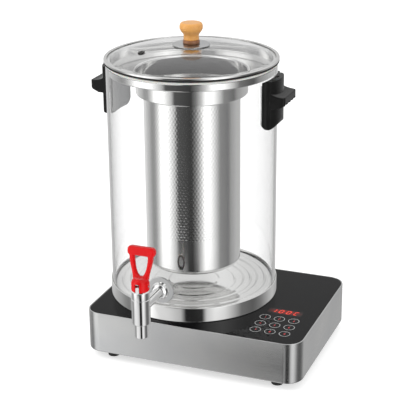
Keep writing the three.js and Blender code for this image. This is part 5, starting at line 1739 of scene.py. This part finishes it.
def makeTap():
    low, high = boxOf("tap_body")
    foot = low[2]
    stem = foot + tap["nozzleLength"] + tap["barrelBelow"]
    top = stem + tap["barrelAbove"]
    barrelFoot = stem - tap["barrelBelow"]
    wallY = vesselY - glassRadius - tapY
    washerFace = wallY - tap["sealThickness"]
    collarFace = washerFace - tap["washerThickness"]
    upright = spun([
        (0, foot + tap["boreDepth"]), (tap["nozzleBore"], foot + tap["boreDepth"]),
        (tap["nozzleBore"], foot, 0.5),
        (tap["nozzleRadius"], foot, 1.2), (tap["nozzleRadius"], barrelFoot, 0.5),
        (tap["barrelRadius"], barrelFoot, 1.9), (tap["barrelRadius"], top, 0.2), (0, top),
    ], 5, 128, closed=False)
    domeFoot = collarFace - tap["collarLength"]
    lying = spun([
        (0, 2), (tap["stemRadius"], 2), (tap["stemRadius"], domeFoot - 0.5, 0.8),
        (tap["stemRadius"] + 1.5, domeFoot, 0.8), (tap["collarRadius"] - 1.2, domeFoot + 2.6, 3.2),
        (tap["collarRadius"], domeFoot + 6, 2), (tap["collarRadius"], collarFace, 0.4),
        (tap["shankRadius"], collarFace), (tap["shankRadius"], high[1] - tapY), (0, high[1] - tapY),
    ], 6, 112, closed=False)
    lying = moved(turned(lying, "X", -90), 0, 0, stem)
    casting = fused(upright, lying)
    makePiece("tap_casting", casting, "vessel", "chrome", ["tap_body"], onTap, 30)
    bonnetTop = boxOf("tap_bonnet")[1][2]
    cap = spun([
        (tap["rodHole"], top + 0.2), (tap["bonnetRadius"] - 0.9, top + 0.2),
        (tap["bonnetRadius"] - 0.9, top + 0.7), (tap["bonnetRadius"], top + 0.9, 0.4),
        (tap["bonnetRadius"], bonnetTop, 0.9), (tap["rodHole"], bonnetTop, 0.3),
    ], 4, 128)
    makePiece("tap_cap", cap, "vessel", "chrome", ["tap_bonnet"], onTap)

    def lyingRing(bore, radius, start, end, round, steps=96):
        made = spun([
            (bore, start, 0.2), (radius, start, round), (radius, end, round), (bore, end, 0.2),
        ], 4, steps)
        return moved(turned(made, "X", -90), 0, 0, stem)

    washer = lyingRing(tap["shankHole"], tap["washerRadius"], collarFace, washerFace, 1.0)
    makePiece("wall_washer", washer, "vessel", "polished_steel", ["tap_washer"], onTap,
              material=finish["brushed_steel"])
    hugging = moved(rod(glassRadius + tap["sealGap"], stem - 40, stem + 40, 288), 0, wallY + glassRadius)
    outer = cut(lyingRing(tap["shankHole"], tap["sealRadius"], washerFace, wallY + 3, 0.3), hugging)
    makePiece("wall_seal", outer, "vessel", "grey_silicone", ["tap_outer_seal"], onTap)
    nutLow, nutHigh = boxOf("tap_nut")
    start, end = nutLow[1] - tapY, nutHigh[1] - tapY
    hexagon = arcPoints(0, 0, tap["nutRadius"], 0, 300, 5)
    nut = prism(filleted([(*p, 0.8) for p in hexagon], 4), start, end, 0.5)
    face, wide, chamfer = tap["nutFace"], tap["nutConeRadius"], tap["nutChamfer"]
    cone = lathe([
        (0, start - 1), (face, start - 1), (wide, start + chamfer),
        (wide, end - chamfer), (face, end + 1), (0, end + 1),
    ], 64)
    nut = cut(shared(nut, cone), rod(tap["nutBore"], start - 2, end + 2, 64))
    nut = moved(turned(nut, "X", -90), 0, 0, stem)
    makePiece("shank_nut", nut, "vessel", "polished_steel", ["tap_nut"], onTap)


hingePin = {
    "radius": 1.5,
    "hole": 1.8,
}
plungerForm = {
    "radius": 2.4,
    "eyeWidth": 5,
    "eyeDepth": 6,
    "eyeHeight": 8,
}


def makePlunger():
    low, high = boxOf("tap_plunger")
    eyeFoot = high[2] - plungerForm["eyeHeight"]
    shaft = spun([
        (0, low[2]), (plungerForm["radius"], low[2], 0.3),
        (plungerForm["radius"], eyeFoot + 1), (0, eyeFoot + 1),
    ], 3, 48, closed=False)
    eye = roundedRect(plungerForm["eyeWidth"], plungerForm["eyeDepth"], 1.2)
    block = prism(eye, eyeFoot, high[2], 0.8)
    hole = turned(rod(hingePin["hole"], -5, 5, 32), "Y", 90)
    made = cut(fused(shaft, block), moved(hole, 0, 0, pinLevel))
    # the rod takes the dark zinc as painted shade: a stainless rod that stands in the shadow of the lever's
    # slot is drawn dark
    makePiece("plunger_rod", made, "plunger", "screw_steel", ["tap_plunger"],
              material=extra["darkZincAndShade"])


lever = {
    "skirtRadius": 12.9,
    "skirtHeight": 13,
    "skirtWall": 3.2,
    "neckRadius": 11.4,
    "neckHeight": 16.5,      # above the skirt's underside
    "shoulder": 3,
    "slotWidth": 6.4,
    "slotHeight": 13.5,
    "loopBase": 17,          # above the skirt's underside
    "loopSet": 3,            # towards the vessel
    "loopHeight": 46.4,
    "thickness": 8.6,
    "lean": 7,               # degrees towards the vessel
    "neckWidth": 23,
    "barLength": 41.3,
    "barHeight": 13.6,
    "barThickness": 9.5,
    "sideBar": 7.6,
    "holeBottom": 3.6,
    "holeWidth": 20,
    "voxel": 0.42,
    "smoothing": 9,
}


def leverLoopShape():
    # the loop lies in X and Y, its thickness along Z
    v = lever
    barFoot = v["loopHeight"] - v["barHeight"]
    neck = v["neckWidth"] / 2
    sideX = v["holeWidth"] / 2 + v["sideBar"]
    right = bezierPoints((neck, 0), (neck, 0.3 * barFoot), (sideX, 0.62 * barFoot), (sideX, barFoot + 4))
    outline = right + [(-x, y) for x, y in right[::-1]]
    loop = prism(outline, -v["thickness"] / 2, v["thickness"] / 2, 2.4)
    end = v["barHeight"] / 2
    bar = prism(roundedRect(v["barLength"], v["barHeight"], end * 0.8, 8), -v["barThickness"] / 2,
                v["barThickness"] / 2, 2.8, 5)
    loop = fused(loop, moved(bar, 0, v["loopHeight"] - end, 0))
    half, low = v["holeWidth"] / 2, v["holeBottom"]
    drop = barFoot - low
    corner = bezierPoints(
        (0, low), (half * 0.5, low), (half * 0.95, barFoot - 0.65 * drop), (half, barFoot - 1.2),
    )
    opening = corner + [(half - 1.2, barFoot)]
    opening += [(-x, y) for x, y in opening[:0:-1]]
    # the opening widens to both faces, so that its rim is rounded
    middle = Vector((0, low + drop * 0.6))
    loops = []
    for z, grow in ((-v["thickness"], 1.35), (-v["thickness"] / 2, 1.14), (-1.6, 1.0), (1.6, 1.0),
                    (v["thickness"] / 2, 1.14), (v["thickness"], 1.35)):
        loops.append([(*(middle + (Vector(p) - middle) * grow), z) for p in opening])
    return cut(loop, loft(loops))


def makeLever():
    v = lever
    foot = boxOf("tap_lever")[0][2]
    neck = foot + v["neckHeight"]
    skirt = lathe([
        (0, foot), (v["skirtRadius"] - 2, foot), (v["skirtRadius"], foot + 2),
        (v["skirtRadius"], foot + v["skirtHeight"]), (v["neckRadius"], neck),
        (v["neckRadius"] - v["shoulder"], neck + v["shoulder"]), (0, neck + v["shoulder"]),
    ], 96)
    loop = moved(turned(leverLoopShape(), "X", 90 - v["lean"]), 0, v["loopSet"], foot + v["loopBase"])
    inside = v["skirtRadius"] - v["skirtWall"]
    cavityTop = foot + v["slotHeight"]
    cavity = rod(inside, foot - 2, cavityTop, 64)
    slot = prism(roundedRect(v["slotWidth"], v["skirtRadius"] + 4, 0.4, 3), foot - 2, cavityTop)
    slot = moved(slot, 0, -(v["skirtRadius"] + 4) / 2)
    pinHole = turned(rod(hingePin["hole"], -30, 30, 24), "Y", 90)
    whole = cut(fused(skirt, loop), cavity, slot, moved(pinHole, 0, 0, pinLevel))
    whole = moulded(whole, v["voxel"], v["smoothing"])
    makePiece("red_lever", whole, "lever", "red_plastic", ["tap_lever"], sharp=60)
    reach = radiusOf("lever_pin")
    radius = hingePin["radius"]
    pin = spun([
        (0, -reach), (radius, -reach, 0.4), (radius, reach, 0.4), (0, reach),
    ], 3, 32, closed=False)
    pin = moved(turned(pin, "Y", 90), 0, 0, pinLevel)
    makePiece("hinge_pin", pin, "lever", "screw_steel", ["lever_pin"])


makeTap()
makePlunger()
makeLever()
print("tap made")
